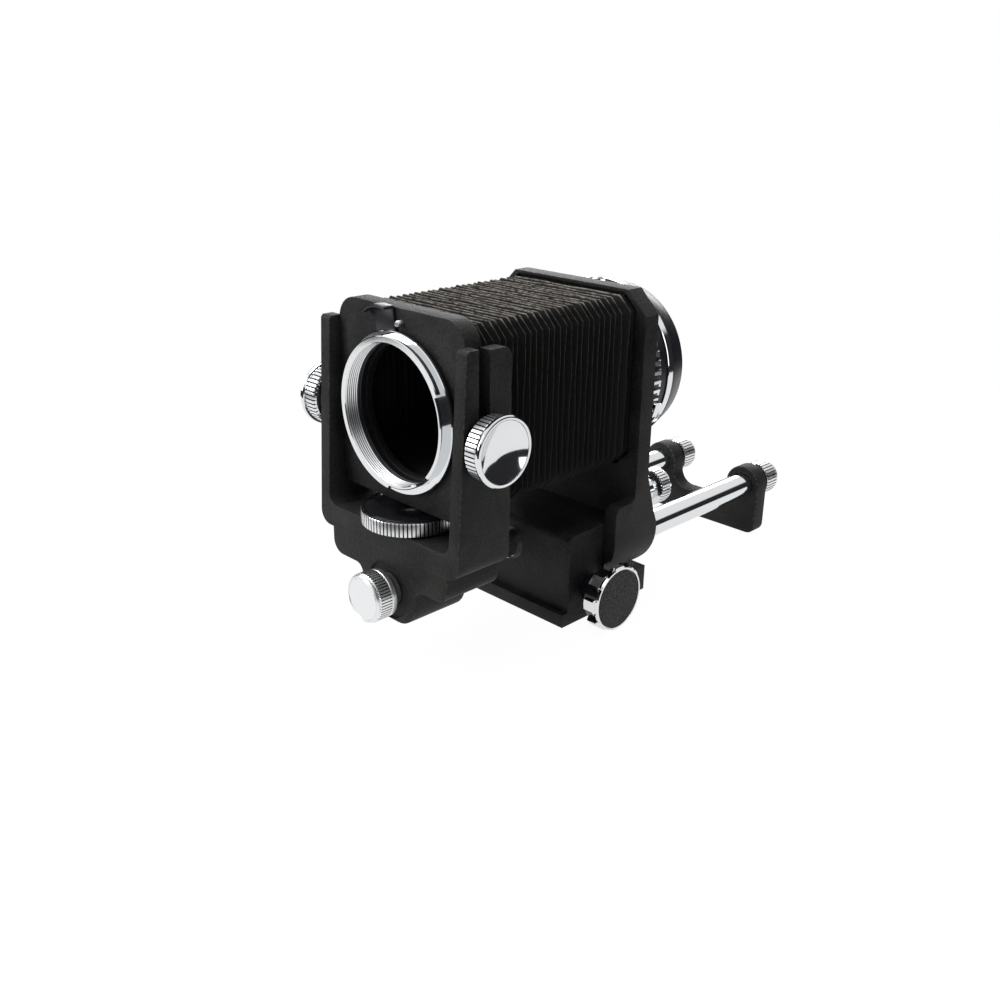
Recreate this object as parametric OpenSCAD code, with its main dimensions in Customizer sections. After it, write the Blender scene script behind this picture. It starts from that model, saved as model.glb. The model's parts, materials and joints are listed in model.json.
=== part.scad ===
// Macro bellows unit: a focusing bellows for close-up work.
// Millimetres, +Z up, +Y from the lens side to the camera side, +X to the operator's right.
// The origin is the mouth of the tripod thread in the underside of the carriage.

/* [Overall] */
// Height of the optical axis over the underside
axis_h = 103; // [98:1:112]
// Width of the yoke, across its arms
yoke_w = 87; // [84:1:92]
// Distance from the tripod thread to the yoke's pivot
front_reach = 83.2; // [80:0.2:92]
// Height of the ram over the underside
ram_h = 29; // [28:0.5:30]

/* [Lens board] */
// Width of the gap between the board and each arm
board_side_gap = 0.4; // [0.3:0.05:0.8]
// Thickness of the board
board_t = 8; // [7:0.5:9]
// Height of the board's top edge over the optical axis
board_rise = 41.5; // [39:0.5:44]
// Height of the board's bottom edge over the underside
board_foot = 65; // [63.8:0.1:66]
// Radius of the board's top corners
board_corner = 10; // [6:1:14]
// Bore of the lens thread, M57 x 1
lens_bore_d = 57; // [52:0.5:58]
// Outer diameter of the lens ring
lens_ring_d = 65.6; // [63:0.2:68]
// How far the lens ring stands out of the board
lens_ring_out = 5.6; // [4.8:0.1:7]
// How deep the lens ring's neck sits in the board
lens_neck_in = 5; // [3:0.5:6]

/* [Yoke] */
// Least gap between the bellows and each arm
bellows_side_gap = 0.8; // [0.5:0.1:2]
// Thickness of each arm
arm_t = 5.7; // [5:0.1:7]
// Height of the front prongs over the underside
prong_h = 136; // [130:1:140]
// Height of the yoke's floor, where the wheel lies
yoke_floor = 56.3; // [55:0.1:58]
// Height of the yoke's underside
yoke_bottom = 46.8; // [45:0.1:48]
// How far the front face lies before the pivot at the top
yoke_front_top = 8.8; // [8:0.2:11]
// How far the front face lies before the pivot at the bottom
yoke_front_foot = 13.9; // [12:0.1:16]
// How far the rear face lies behind the pivot
yoke_back = 13.7; // [12:0.1:16]
// Radius of the outer bottom corners
yoke_corner = 6; // [3:1:10]
// Radius of the inner bottom corners
yoke_inner_corner = 5; // [3:1:8]
// Height of the tilt axis over the underside
tilt_h = 99.5; // [99:0.5:103]
// Diameter of the trunnions
trunnion_d = 5.5; // [4:0.5:6]
// Radial running clearance of pins and shafts
run_fit = 0.05; // [0.03:0.01:0.08]

/* [Front foot] */
// Width of the foot's top plate
foot_w = 73; // [66:1:78]
// Thickness of the foot's top plate
foot_t = 12; // [9:0.5:13]
// Gap between the yoke's underside and the foot
swing_gap = 0.2; // [0.1:0.05:0.4]
// Width of the foot's column
column_w = 34; // [30:1:38]
// Height of the column's lower end over the underside
column_foot = 16; // [14:0.5:17]
// Depth of the foot from front to back
foot_depth = 27.5; // [24:0.5:30]
// How far the foot's front lies before the pivot
foot_front = 12.8; // [11:0.2:14]
// Diameter of the swing stud's journal
stud_d = 10; // [8:0.5:12]

/* [Swing wheel] */
// Diameter of the wheel
wheel_d = 40.4; // [36:0.2:42]
// Thickness of the wheel's knurled rim
wheel_t = 6.4; // [5:0.1:6.6]
// Number of teeth on the wheel's rim
wheel_teeth = 76; // [56:1:90]

/* [Ram and focus drive] */
// Diameter of the ram
ram_d = 13; // [12:0.5:14]
// Module of the rack and pinion
gear_m = 1.0; // [0.9:0.05:1.1]
// Number of pinion teeth
pinion_z = 16; // [15:1:17]
// Distance from the tripod thread back to the ram's rear end
ram_back = 76; // [70:1:80]
// Distance from the tripod thread forward to the pinion
pinion_fwd = 12; // [11:0.5:13]
// Wall of the ram's bushes
bush_wall = 1.5; // [1:0.25:2]

/* [Carriage] */
// Width of the carriage's base flange
base_w = 73; // [70:1:76]
// Thickness of the base flange at its edge
base_t = 6; // [5:0.5:8]
// Distance from the tripod thread to the flange's front
base_front = 28.5; // [27:0.5:32]
// Distance from the tripod thread to the flange's rear
base_back = 29; // [27:0.5:32]
// Width of the carriage's upper block
block_w = 73; // [70:1:76]
// Height of the block's top over the underside
block_h = 42.5; // [41:0.5:43.5]
// Distance from the tripod thread to the block's front
block_front = 25; // [24.5:0.5:26]
// Distance from the tripod thread to the block's rear
block_back = 9; // [8:0.5:9]
// Bore of the tripod thread, 1/4-20 UNC at its crests
tripod_bore_d = 5.1; // [5.0:0.1:5.4]
// Depth of the tripod thread
tripod_depth = 6; // [5:0.5:6]

/* [Rear standard] */
// Width of the rear standard
rear_w = 86.6; // [85:0.2:92]
// Height of the rear standard's top over the optical axis
rear_rise = 41; // [39:0.5:44]
// Distance from the tripod thread to the frame's front face
frame_front = 9.6; // [9.4:0.2:12]
// Thickness of the frame
frame_t = 8.4; // [7:0.2:10]
// Size of the frame's top chamfers
frame_chamfer = 10; // [6:1:14]
// Height of the standard's lower end over the underside
standard_foot = 12.3; // [11.5:0.1:14]
// Radius of the standard's lower corners
standard_corner = 22; // [16:1:23]
// Height of the standard's saddle over the underside
saddle_h = 51.5; // [48:0.5:54]
// Distance from the tripod thread to the saddle's rear
saddle_back = 26.5; // [25:0.5:28]
// How far the saddle's cheeks reach before the tripod thread
cheek_front = 3; // [2:0.2:5]
// Gap between the block and each cheek
cheek_gap = 0.5; // [0.3:0.1:0.8]

/* [Rods and end bracket] */
// Diameter of the guide rods
rod_d = 12.6; // [11:0.2:13]
// Spacing of the guide rods
rod_spacing = 53.7; // [52:0.1:55]
// Height of the rods over the underside
rod_h = 26.2; // [25:0.2:27]
// Distance from the tripod thread to the end bracket's front face
bracket_front = 122; // [118:1:140]
// Thickness of the end bracket
bracket_t = 8.6; // [7:0.2:12]
// Radius of the bracket's outer lower corners
bracket_corner = 5; // [3:0.5:7]
// Radius of the bracket's ears
ear_r = 9.8; // [9:0.1:10.5]
// Height of the bracket's web over the underside
web_h = 14; // [11:0.5:15]

/* [Bellows] */
// Outer width of the bellows
bellows_w = 74; // [70:1:75]
// Height of the bellows' top over the optical axis
bellows_rise = 39; // [36:0.5:40]
// Height of the bellows' bottom under the optical axis
bellows_drop = 36; // [33:0.5:37]
// Size of the bellows' corner cuts
bellows_cut = 6; // [4:0.5:8]
// Depth of a pleat
pleat_depth = 5; // [3:0.5:7]
// Number of pleats
pleats = 25; // [18:1:30]
// Thickness of the bellows' cloth
cloth_t = 0.8; // [0.6:0.1:1.2]

/* [Camera mount] */
// Outer diameter of the mount's rings
mount_d = 76.6; // [74:0.2:78]
// Bore of the camera mount
mount_bore_d = 60; // [54:1:62]
// Distance from the frame's rear face to the mount's rear face
mount_len = 32.2; // [31:0.2:36]

/* [Knobs] */
// Diameter of the tilt knobs over their rims
tilt_knob_d = 27.6; // [24:0.2:29]
// Length of the tilt knobs
tilt_knob_len = 9.6; // [8:0.2:12]
// Diameter of the focus knob
focus_knob_d = 30; // [26:0.5:30]
// Length of the focus knob
focus_knob_len = 8; // [7:0.5:11]
// Distance from the block's side to the focus knob
focus_knob_gap = 10; // [9:0.5:12]
// Number of lobes on the focus knob
focus_lobes = 8; // [6:1:10]
// Diameter of the front clamp knob
front_knob_d = 21; // [18:0.5:23]
// Length of the front clamp knob
front_knob_len = 14; // [12:0.5:17]
// Diameter of the ram's end knob
ram_knob_d = 19; // [16:0.5:20]
// Length of the ram's end knob
ram_knob_len = 7; // [6:0.5:10]
// Diameter of the rods' end knobs
end_knob_d = 18; // [16:0.5:19]
// Length of the rods' end knobs
end_knob_len = 11; // [9:0.5:14]

/* [Hidden] */
$fn = 96;
// Overshoot of a cut past the face that it opens
over = 1;
// Air between bodies that move past each other with no fit
air = 0.3;

// Yoke and lens board
pivot_y = -front_reach;
// The arms go round the bellows, however wide it is
arm_inner = max(yoke_w / 2 - arm_t, bellows_w / 2 + bellows_side_gap);
arm_outer = arm_inner + arm_t;
rear_prong_drop = 1;
prong_corner = 4;
slot_w = trunnion_d + 2 * run_fit;
board_w = 2 * (arm_inner - board_side_gap);
board_top = axis_h + board_rise;
board_front = pivot_y - board_t / 2;
board_back = pivot_y + board_t / 2;
lens_bore_r = lens_bore_d / 2;
lens_ring_r = lens_ring_d / 2;
lens_neck_wall = 1.6;
lens_neck_r = lens_bore_r + lens_neck_wall;
lens_collar_r = lens_neck_r + 1.1;
lens_flange_t = 1.1;
ring_front = board_front - lens_ring_out;
lens_clear_wall = 0.9;
// Lock lever: a flat ring round the lens ring's neck, with a finger tab
lever_gap = 0.15;
lever_t = 1.1;
flange_back = board_front - lever_t - 2 * lever_gap;
lever_ring_r = lens_neck_r + 2.4;
lever_turn = 4;
lever_w = 11.5;
lever_reach = board_rise + 1.2;
lip_out = 4.5;
lip_t = 1.6;
stop_angle = -7;
stop_reach = 36;
stop_d = 2.6;
stop_out = 3;
// Trunnions and tilt knobs
trunnion_in = lens_neck_r + 1;
tilt_washer_t = 1;
tilt_washer_d = 21;
tilt_knob_x = arm_outer + tilt_washer_t + 2 * air;
tilt_rim_t = 2;
tilt_body_d = tilt_knob_d - 2;
tilt_teeth = 45;
tilt_shoulder = 0.8;
tilt_hub_wall = 1.5;
tilt_tooth_depth = 0.6;
tilt_tip_wall = 1.5;
tilt_cap_wall = 1.7;
tilt_cap_rise = 0.9;
tilt_cap_seat = 4.2;
tilt_cap_edge = 4;
trunnion_end = tilt_knob_x + tilt_knob_len - tilt_cap_seat - tilt_tip_wall;

// Front foot
foot_top = yoke_bottom - swing_gap;
foot_front_y = pivot_y - foot_front;
foot_back_y = foot_front_y + foot_depth;
foot_corner = 6;
column_corner = 11;
column_fillet = 4;
spot_depth = 1;
ram_foot_wall = 5;
spot_d = front_knob_d + 4;
front_screw_d = 6;
front_screw_in = 14;
ram_screw_in = ram_knob_len - 1;
stud_in = 6;
wheel_lift = 0.3;
wheel_bottom = yoke_floor + wheel_lift;
wheel_disc_t = 4;
wheel_disc_d = wheel_d - 5;
wheel_thread_d = 6;

// Ram, rack and pinion
ram_r = ram_d / 2;
ram_front = foot_front_y + spot_depth + ram_foot_wall;
pinion_r = gear_m * pinion_z / 2;
rack_depth = 1.9 * gear_m;
rack_pitch = PI * gear_m;
rack_pitch_h = ram_h - ram_r + 0.85 * gear_m;
pinion_h = rack_pitch_h - pinion_r;
pinion_y = -pinion_fwd;
rack_teeth = 35;
rack_back_gaps = 17;
rack_start = pinion_y - rack_back_gaps * rack_pitch;
rack_gap_root = 0.55 * rack_pitch;
rack_gap_mouth = 0.86 * rack_pitch;
pinion_w = 9;
pinion_tip_w = 0.20 * rack_pitch;
pinion_root_w = 0.48 * rack_pitch;
pinion_tip = pinion_r + 0.75 * gear_m;
pinion_root = pinion_r - 1.15 * gear_m;
pinion_shaft_d = 7;
pinion_bush_wall = 1.5;
bush_len = 9;

// Carriage
block_top_round = 3;
cavity_w = pinion_w + 3;
cavity_r = pinion_r + gear_m + 0.8;
tripod_bush_d = 11;
groove_w = 1.4;
groove_d = 0.8;
lip_inset = 4;

// Rear standard
cheek_x = block_w / 2 + cheek_gap;
frame_back = frame_front + frame_t;
rear_top = axis_h + rear_rise;
frame_rim = 3;
frame_recess = 2.4;
saddle_slope_h = 62;
// The saddle's rear face clears the ram's bush, then slopes up to the frame
saddle_back_h = ram_h + ram_r + bush_wall;
saddle_shoulder = 3;
saddle_shoulder_rise = 7;
cheek_fillet = 4;
light_r = mount_bore_d / 2;
seat_gap = 0.6;
standard_screw_d = 4;
standard_screw_head_d = 7;
standard_screw_len = 14;
standard_screw_h = 6;
standard_screw_x = 24;
standard_screw_y = 18;
// Rods
rod_x = rod_spacing / 2;
rod_r = rod_d / 2;
rod_front = block_back + 1;
bracket_back = bracket_front + bracket_t;
rod_seat = 5;
rod_stem_d = 7;
rod_stem_out = 8;
rod_end = bracket_back + rod_stem_out;
end_washer_t = 1.2;
end_washer_d = 13;
end_knob_y = bracket_back + end_washer_t + 2 * air;
end_knob_teeth = 34;
web_fillet = 8;

// Bellows
frame_plate_t = 1.6;
bellows_front_y = board_back + frame_plate_t;
bellows_back_y = frame_front + frame_recess - frame_plate_t;
bellows_frame_inset = 1;

// Camera mount
mount_back = frame_back + mount_len;
mount_r = mount_d / 2;
mount_rim_len = 12;
mount_rim_taper = 3.4;
mount_seat_len = 3.5;
mount_groove_len = 5.2;
mount_lock_len = 8.7;
mount_flange_d = 79.4;
mount_flange_t = 2;
mount_tube_r = mount_r - 5.3;
mount_lock_r = mount_r + 1.2;
mount_lock_y = mount_back - mount_rim_len - mount_seat_len - mount_groove_len - mount_lock_len;
mount_lock_teeth = 60;
mount_screw_d = 3;
mount_screw_head_d = 4;
mount_screw_head_t = 1;
mount_screw_in = 5;
mount_screw_pcr = mount_flange_d / 2 - 2.8;
catch_angle = 17;
catch_stem_d = 2.4;
catch_travel = 1.5;
catch_in = mount_lock_r + 0.5;
catch_t = 3.4;
catch_w = 6.5;
catch_front = frame_back + mount_flange_t + 1.5;
catch_len = 4.5;
catch_stem_in = 5;

// Focus drive outside the block
focus_knob_x = block_w / 2 + focus_knob_gap;
focus_cap_t = 1.2;
focus_chamfer = 0.7;
focus_cap_rim = 0.9;
focus_cap_r = focus_knob_d / 2 - focus_chamfer - focus_cap_rim;
focus_lobe_depth = 2.2;
focus_channel_r = 3.7;
focus_channel_end = 1.6;
focus_hub_t = 1.7;
focus_hub_r = focus_knob_d / 2 - 2.5;
focus_sleeve_wall = 3;
focus_shaft_out = focus_knob_x + focus_knob_len - focus_cap_t - 2;

// A cylinder along Y between two places
module along_y(r, y0, y1, x = 0, z = 0) {
    translate([x, y0, z])
        rotate([-90, 0, 0])
            cylinder(r = r, h = y1 - y0);
}

// A cylinder along X between two places
module along_x(r, x0, x1, y = 0, z = 0) {
    translate([x0, y, z])
        rotate([0, 90, 0])
            cylinder(r = r, h = x1 - x0);
}

// An outline drawn in X and Z, pushed from y0 to y1
module front_slab(y0, y1) {
    translate([0, y1, 0])
        rotate([90, 0, 0])
            linear_extrude(height = y1 - y0)
                children();
}

// An outline drawn in Y and Z, pushed from x0 to x1
module side_slab(x0, x1) {
    translate([x0, 0, 0])
        rotate([90, 0, 90])
            linear_extrude(height = x1 - x0)
                children();
}

// Points of a quarter round, from angle a0 through 90 degrees
function quarter(cx, cy, r, a0, steps = 8) =
    [for (i = [0 : steps]) [cx + r * cos(a0 + 90 * i / steps), cy + r * sin(a0 + 90 * i / steps)]];

// A rectangle from x0, z0 to x1, z1 with round lower corners
module round_foot(x0, z0, x1, z1, r) {
    polygon(concat([[x1, z1], [x0, z1]], quarter(x0 + r, z0 + r, r, 180), quarter(x1 - r, z0 + r, r, 270)));
}

// A rectangle from x0, z0 to x1, z1 with round upper corners
module round_top(x0, z0, x1, z1, r) {
    polygon(concat([[x0, z0], [x1, z0]], quarter(x1 - r, z1 - r, r, 0), quarter(x0 + r, z1 - r, r, 90)));
}

// A rectangle with half-width w from z0 to z1 with its corners cut off by c
module cut_corners(w, z0, z1, c) {
    polygon([[w, z0 + c], [w, z1 - c], [w - c, z1], [-w + c, z1], [-w, z1 - c], [-w, z0 + c],
        [-w + c, z0], [w - c, z0]]);
}

// A toothed disc: teeth between an outer and a root radius
module toothed(r_out, r_root, teeth, share = 0.5) {
    step = 360 / teeth;
    polygon([for (i = [0 : teeth - 1]) for (k = [[0, r_out], [share, r_out], [share + 0.12, r_root],
        [0.88, r_root]]) [k[1] * cos((i + k[0]) * step), k[1] * sin((i + k[0]) * step)]]);
}

// ---- Carriage ----

module base_block() {
    color("#2b2b2c")
        difference() {
            union() {
                // Base flange
                translate([-base_w / 2, -base_front, 0])
                    cube([base_w, base_front + base_back, base_t]);
                // Raised deck between the flange and the standard
                translate([-block_w / 2, -block_front, base_t])
                    cube([block_w, block_front + base_back, standard_foot - base_t]);
                // Upper block with a rounded front edge
                side_slab(-block_w / 2, block_w / 2)
                    polygon(concat([[block_back, standard_foot], [block_back, block_h]],
                        quarter(-block_front + block_top_round, block_h - block_top_round, block_top_round, 90),
                        [[-block_front, standard_foot]]));
            }
            // Ram passage
            along_y(ram_r + bush_wall, -block_front - over, block_back + over, 0, ram_h);
            // Pinion cavity
            along_x(cavity_r, -cavity_w / 2, cavity_w / 2, pinion_y, pinion_h);
            // Pinion shaft bore, through the right wall and into the left one
            along_x(pinion_shaft_d / 2 + pinion_bush_wall, -bush_len - cavity_w / 2, base_w, pinion_y, pinion_h);
            // Tripod bush seat
            translate([0, 0, -over])
                cylinder(d = tripod_bush_d, h = tripod_depth + over);
            // Recess behind the base lip at the front
            translate([-block_w / 2 + lip_inset, -block_front - groove_d, base_t - groove_d])
                cube([block_w - 2 * lip_inset, groove_w, groove_d + over]);
            standard_screw_cuts();
        }
}

// Holes for the screws that hold the standard, from below
module standard_screw_cuts() {
    for (sx = [-1, 1])
        translate([sx * standard_screw_x, standard_screw_y, -over]) {
            cylinder(d = standard_screw_d, h = standard_screw_len + standard_screw_h + over);
            cylinder(d = standard_screw_head_d, h = standard_screw_h + over);
        }
}

module tripod_bush() {
    color("#b9a06a")
        difference() {
            cylinder(d = tripod_bush_d, h = tripod_depth);
            translate([0, 0, -over])
                cylinder(d = tripod_bore_d, h = tripod_depth + 2 * over);
        }
}

module ram_bush(y0) {
    color("#b98f4a")
        difference() {
            along_y(ram_r + bush_wall, y0, y0 + bush_len, 0, ram_h);
            along_y(ram_r + run_fit, y0 - over, y0 + bush_len + over, 0, ram_h);
        }
}

// The front bush is short of the pinion's cavity
module ram_bush_front() {
    color("#b98f4a")
        difference() {
            along_y(ram_r + bush_wall, -block_front, pinion_y - cavity_r, 0, ram_h);
            along_y(ram_r + run_fit, -block_front - over, pinion_y, 0, ram_h);
        }
}

module ram_bush_rear() {
    ram_bush(saddle_back - bush_len);
}

module pinion_bushes() {
    color("#b98f4a")
        for (x0 = [-cavity_w / 2 - bush_len, block_w / 2 - bush_len])
            difference() {
                along_x(pinion_shaft_d / 2 + pinion_bush_wall, x0, x0 + bush_len, pinion_y, pinion_h);
                along_x(pinion_shaft_d / 2 + run_fit, x0 - over, x0 + bush_len + over, pinion_y, pinion_h);
            }
}

// ---- Rear standard ----

module rear_outline() {
    w = rear_w / 2;
    c = frame_chamfer;
    polygon(concat([[w, rear_top - c], [w - c, rear_top], [-w + c, rear_top], [-w, rear_top - c]],
        quarter(-w + standard_corner, standard_foot + standard_corner, standard_corner, 180, 12),
        quarter(w - standard_corner, standard_foot + standard_corner, standard_corner, 270, 12)));
}

// The standard seen from its side: frame above, saddle below
module rear_profile() {
    polygon(concat(
        [[frame_front, rear_top + over]],
        [for (i = [0 : 5]) [frame_front - cheek_fillet + cheek_fillet * cos(18 * i),
            saddle_h + cheek_fillet - cheek_fillet * sin(18 * i)]],
        quarter(-cheek_front + cheek_fillet, saddle_h - cheek_fillet, cheek_fillet, 90),
        [[-cheek_front, standard_foot - over], [saddle_back, standard_foot - over]],
        [[saddle_back, saddle_back_h], [saddle_back - saddle_shoulder, saddle_back_h + saddle_shoulder_rise],
            [frame_back, saddle_slope_h], [frame_back, rear_top + over]]));
}

module rear_standard() {
    color("#29292a")
        difference() {
            intersection() {
                front_slab(-cheek_front - over, saddle_back + over)
                    rear_outline();
                side_slab(-rear_w / 2 - over, rear_w / 2 + over)
                    rear_profile();
            }
            // Room for the block between the cheeks
            translate([-cheek_x, -cheek_front - over, standard_foot - over])
                cube([2 * cheek_x, cheek_front + over + block_back, saddle_h - standard_foot + 2 * (over + cheek_fillet)]);
            // Light passage and the seat of the bellows' rear frame
            along_y(light_r, frame_front - over, frame_back + over, 0, axis_h);
            front_slab(frame_front - over, frame_front + frame_recess)
                cut_corners(bellows_w / 2 + seat_gap, axis_h - bellows_drop - seat_gap,
                    axis_h + bellows_rise + seat_gap, bellows_cut + seat_gap / 2);
            // Ram passage
            along_y(ram_r + bush_wall, block_back - over, saddle_back + over, 0, ram_h);
            // Rod seats
            for (sx = [-1, 1])
                along_y(rod_r, rod_front, saddle_back + over, sx * rod_x, rod_h);
            standard_screw_cuts();
            mount_screw_cuts();
            catch_place()
                along_y(catch_stem_d / 2 + run_fit, frame_back - catch_stem_in, frame_back + over,
                    catch_in + catch_t / 2);
        }
}

module standard_screws() {
    color("#c9cacc")
        for (sx = [-1, 1])
            translate([sx * standard_screw_x, standard_screw_y, 0]) {
                translate([0, 0, standard_screw_h])
                    cylinder(d = standard_screw_d, h = standard_screw_len);
                translate([0, 0, standard_screw_h - 3])
                    cylinder(d = standard_screw_head_d, h = 3);
            }
}

// A flat frame that the bellows is glued to
module bellows_frame(y0, w, z0, z1) {
    front_slab(y0, y0 + frame_plate_t)
        difference() {
            cut_corners(w / 2, z0, z1, bellows_cut);
            translate([0, axis_h])
                circle(r = light_r);
        }
}

module rear_bellows_frame() {
    color("#1c1c1d")
        bellows_frame(bellows_back_y, bellows_w - 2 * bellows_frame_inset,
            axis_h - bellows_drop + bellows_frame_inset, axis_h + bellows_rise - bellows_frame_inset);
}

// ---- Bellows ----

// One ring of the bellows: a rectangle with cut corners, drawn in by d
function bellows_ring(y, d) =
    let (w = bellows_w / 2 - d, t = axis_h + bellows_rise - d, b = axis_h - bellows_drop + d, c = bellows_cut)
    [[w, y, b + c], [w, y, t - c], [w - c, y, t], [-w + c, y, t],
     [-w, y, t - c], [-w, y, b + c], [-w + c, y, b], [w - c, y, b]];

bellows_gap = 0.1;
bellows_len = bellows_back_y - bellows_front_y - 2 * bellows_gap;
ring_count = 2 * pleats + 1;

// Outer rings from front to back, then inner rings from back to front
module bellows() {
    outer = [for (i = [0 : ring_count - 1])
        bellows_ring(bellows_front_y + bellows_gap + bellows_len * i / (ring_count - 1),
            i % 2 == 1 ? 0 : pleat_depth)];
    inner = [for (i = [ring_count - 1 : -1 : 0])
        bellows_ring(bellows_front_y + bellows_gap + bellows_len * i / (ring_count - 1),
            (i % 2 == 1 ? 0 : pleat_depth) + cloth_t + (i % 2 == 1 ? 0.6 : 0))];
    rings = concat(outer, inner);
    n = len(rings);
    points = [for (r = rings) for (p = r) p];
    faces = [for (i = [0 : n - 1]) for (k = [0 : 7]) for (s = [0, 1])
        let (a = i * 8 + k, b = i * 8 + (k + 1) % 8, c = ((i + 1) % n) * 8 + k, d = ((i + 1) % n) * 8 + (k + 1) % 8)
        s == 0 ? [a, b, d] : [a, d, c]];
    color("#171719")
        polyhedron(points = points, faces = faces);
}

// ---- Rods and end bracket ----

module guide_rod(sx) {
    color("#d9dadc")
        union() {
            along_y(rod_r, rod_front, bracket_front + rod_seat, sx * rod_x, rod_h);
            along_y(rod_stem_d / 2, bracket_front + rod_seat, rod_end, sx * rod_x, rod_h);
        }
}

module rod_right() {
    guide_rod(1);
}

module rod_left() {
    guide_rod(-1);
}

// Two round ears joined by a low web with hollow corners
module bracket_outline() {
    ear_x = rod_x + ear_r;
    difference() {
        union() {
            round_foot(-ear_x, 0, ear_x, web_h, bracket_corner);
            for (sx = [-1, 1])
                translate([sx * rod_x, rod_h])
                    circle(r = ear_r);
            difference() {
                round_foot(-ear_x, 0, ear_x, rod_h, bracket_corner);
                translate([-rod_x + ear_r, -over])
                    square([2 * (rod_x - ear_r), rod_h + 2 * over]);
            }
            for (sx = [-1, 1])
                translate([sx * (rod_x - ear_r - web_fillet / 2), web_h + web_fillet / 2])
                    square(web_fillet, center = true);
        }
        for (sx = [-1, 1])
            translate([sx * (rod_x - ear_r - web_fillet), web_h + web_fillet])
                circle(r = web_fillet);
    }
}

module end_bracket() {
    color("#2b2b2c")
        difference() {
            front_slab(bracket_front, bracket_back)
                bracket_outline();
            for (sx = [-1, 1]) {
                along_y(rod_r, bracket_front - over, bracket_front + rod_seat, sx * rod_x, rod_h);
                along_y(rod_stem_d / 2, bracket_front, bracket_back + over, sx * rod_x, rod_h);
            }
        }
}

module end_washers() {
    color("#1d1d1e")
        for (sx = [-1, 1])
            difference() {
                along_y(end_washer_d / 2, bracket_back, bracket_back + end_washer_t, sx * rod_x, rod_h);
                along_y(rod_stem_d / 2, bracket_back - over, bracket_back + end_washer_t + over,
                    sx * rod_x, rod_h);
            }
}

module end_knob(sx) {
    color("#dcdddf")
        difference() {
            union() {
                front_slab(end_knob_y + 1.5, end_knob_y + end_knob_len - 1)
                    translate([sx * rod_x, rod_h])
                        toothed(end_knob_d / 2, end_knob_d / 2 - 0.5, end_knob_teeth);
                along_y(end_knob_d / 2 - 1.8, end_knob_y, end_knob_y + end_knob_len, sx * rod_x, rod_h);
            }
            along_y(rod_stem_d / 2 + run_fit, end_knob_y - over, rod_end + 0.5, sx * rod_x, rod_h);
        }
}

module end_knob_right() {
    end_knob(1);
}

module end_knob_left() {
    end_knob(-1);
}

// ---- Camera mount ----

module mount_screw_cuts() {
    for (a = [45 : 90 : 315])
        translate([mount_screw_pcr * cos(a), 0, axis_h + mount_screw_pcr * sin(a)]) {
            along_y(mount_screw_d / 2, frame_back - mount_screw_in, frame_back + mount_flange_t + over);
            along_y(mount_screw_head_d / 2, frame_back + mount_flange_t - mount_screw_head_t,
                frame_back + mount_flange_t + over);
        }
}

module mount_tube() {
    color("#232324")
        difference() {
            union() {
                along_y(mount_flange_d / 2, frame_back, frame_back + mount_flange_t, 0, axis_h);
                along_y(mount_tube_r, frame_back, mount_back - mount_rim_len, 0, axis_h);
            }
            along_y(light_r, frame_back - over, mount_back + over, 0, axis_h);
            mount_screw_cuts();
        }
}

module mount_screws() {
    color("#1a1a1b")
        for (a = [45 : 90 : 315])
            translate([mount_screw_pcr * cos(a), 0, axis_h + mount_screw_pcr * sin(a)]) {
                along_y(mount_screw_d / 2, frame_back - mount_screw_in, frame_back + mount_flange_t);
                along_y(mount_screw_head_d / 2, frame_back + mount_flange_t - mount_screw_head_t,
                    frame_back + mount_flange_t);
            }
}

// A ring round the optical axis
module axis_ring(r_out, r_in, y0, y1) {
    difference() {
        along_y(r_out, y0, y1, 0, axis_h);
        along_y(r_in, y0 - over, y1 + over, 0, axis_h);
    }
}

module mount_seat_ring() {
    color("#d4d6d9")
        union() {
            axis_ring(mount_r - 0.8, mount_tube_r, mount_lock_y + mount_lock_len + air,
                mount_back - mount_rim_len - mount_seat_len);
            axis_ring(mount_r, mount_tube_r, mount_back - mount_rim_len - mount_seat_len,
                mount_back - mount_rim_len);
        }
}

module mount_rear_rim() {
    color("#151516")
        rotate_extrude_y()
            polygon([[light_r, mount_back - mount_rim_len], [mount_r, mount_back - mount_rim_len],
                [mount_r - mount_rim_taper, mount_back - 0.8], [mount_r - mount_rim_taper - 0.6, mount_back],
                [light_r, mount_back]]);
}

// Turns an outline drawn as radius and Y about the optical axis
module rotate_extrude_y() {
    translate([0, 0, axis_h])
        rotate([-90, 0, 0])
            rotate_extrude()
                children();
}

module mount_lock_ring() {
    color("#d9dadc")
        difference() {
            union() {
                front_slab(mount_lock_y + 1.5, mount_lock_y + mount_lock_len - 1.5)
                    translate([0, axis_h])
                        toothed(mount_lock_r, mount_lock_r - 0.9, mount_lock_teeth);
                along_y(mount_lock_r - 1, mount_lock_y, mount_lock_y + mount_lock_len, 0, axis_h);
            }
            along_y(mount_tube_r + run_fit, mount_lock_y - over, mount_lock_y + mount_lock_len + over, 0, axis_h);
        }
}

// A release catch low on the mount's right, pressed towards the frame
module mount_catch() {
    color("#c4c6c9")
        catch_place() {
            translate([catch_in, catch_front, -catch_w / 2])
                cube([catch_t, catch_len, catch_w]);
            along_y(catch_stem_d / 2, frame_back - catch_stem_in + catch_travel + 0.5, catch_front + 1,
                catch_in + catch_t / 2);
        }
}

module catch_place() {
    translate([0, 0, axis_h])
        rotate([0, catch_angle, 0])
            children();
}

// ---- Focus drive ----

function pinion_points() =
    [for (i = [0 : pinion_z - 1]) for (k = [[-pinion_root_w / 2, pinion_root], [-pinion_tip_w / 2, pinion_tip],
        [pinion_tip_w / 2, pinion_tip], [pinion_root_w / 2, pinion_root]])
        let (a = 360 * i / pinion_z + 90, s = k[0], r = k[1])
        [r * cos(a) - s * sin(a), r * sin(a) + s * cos(a)]];

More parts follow.
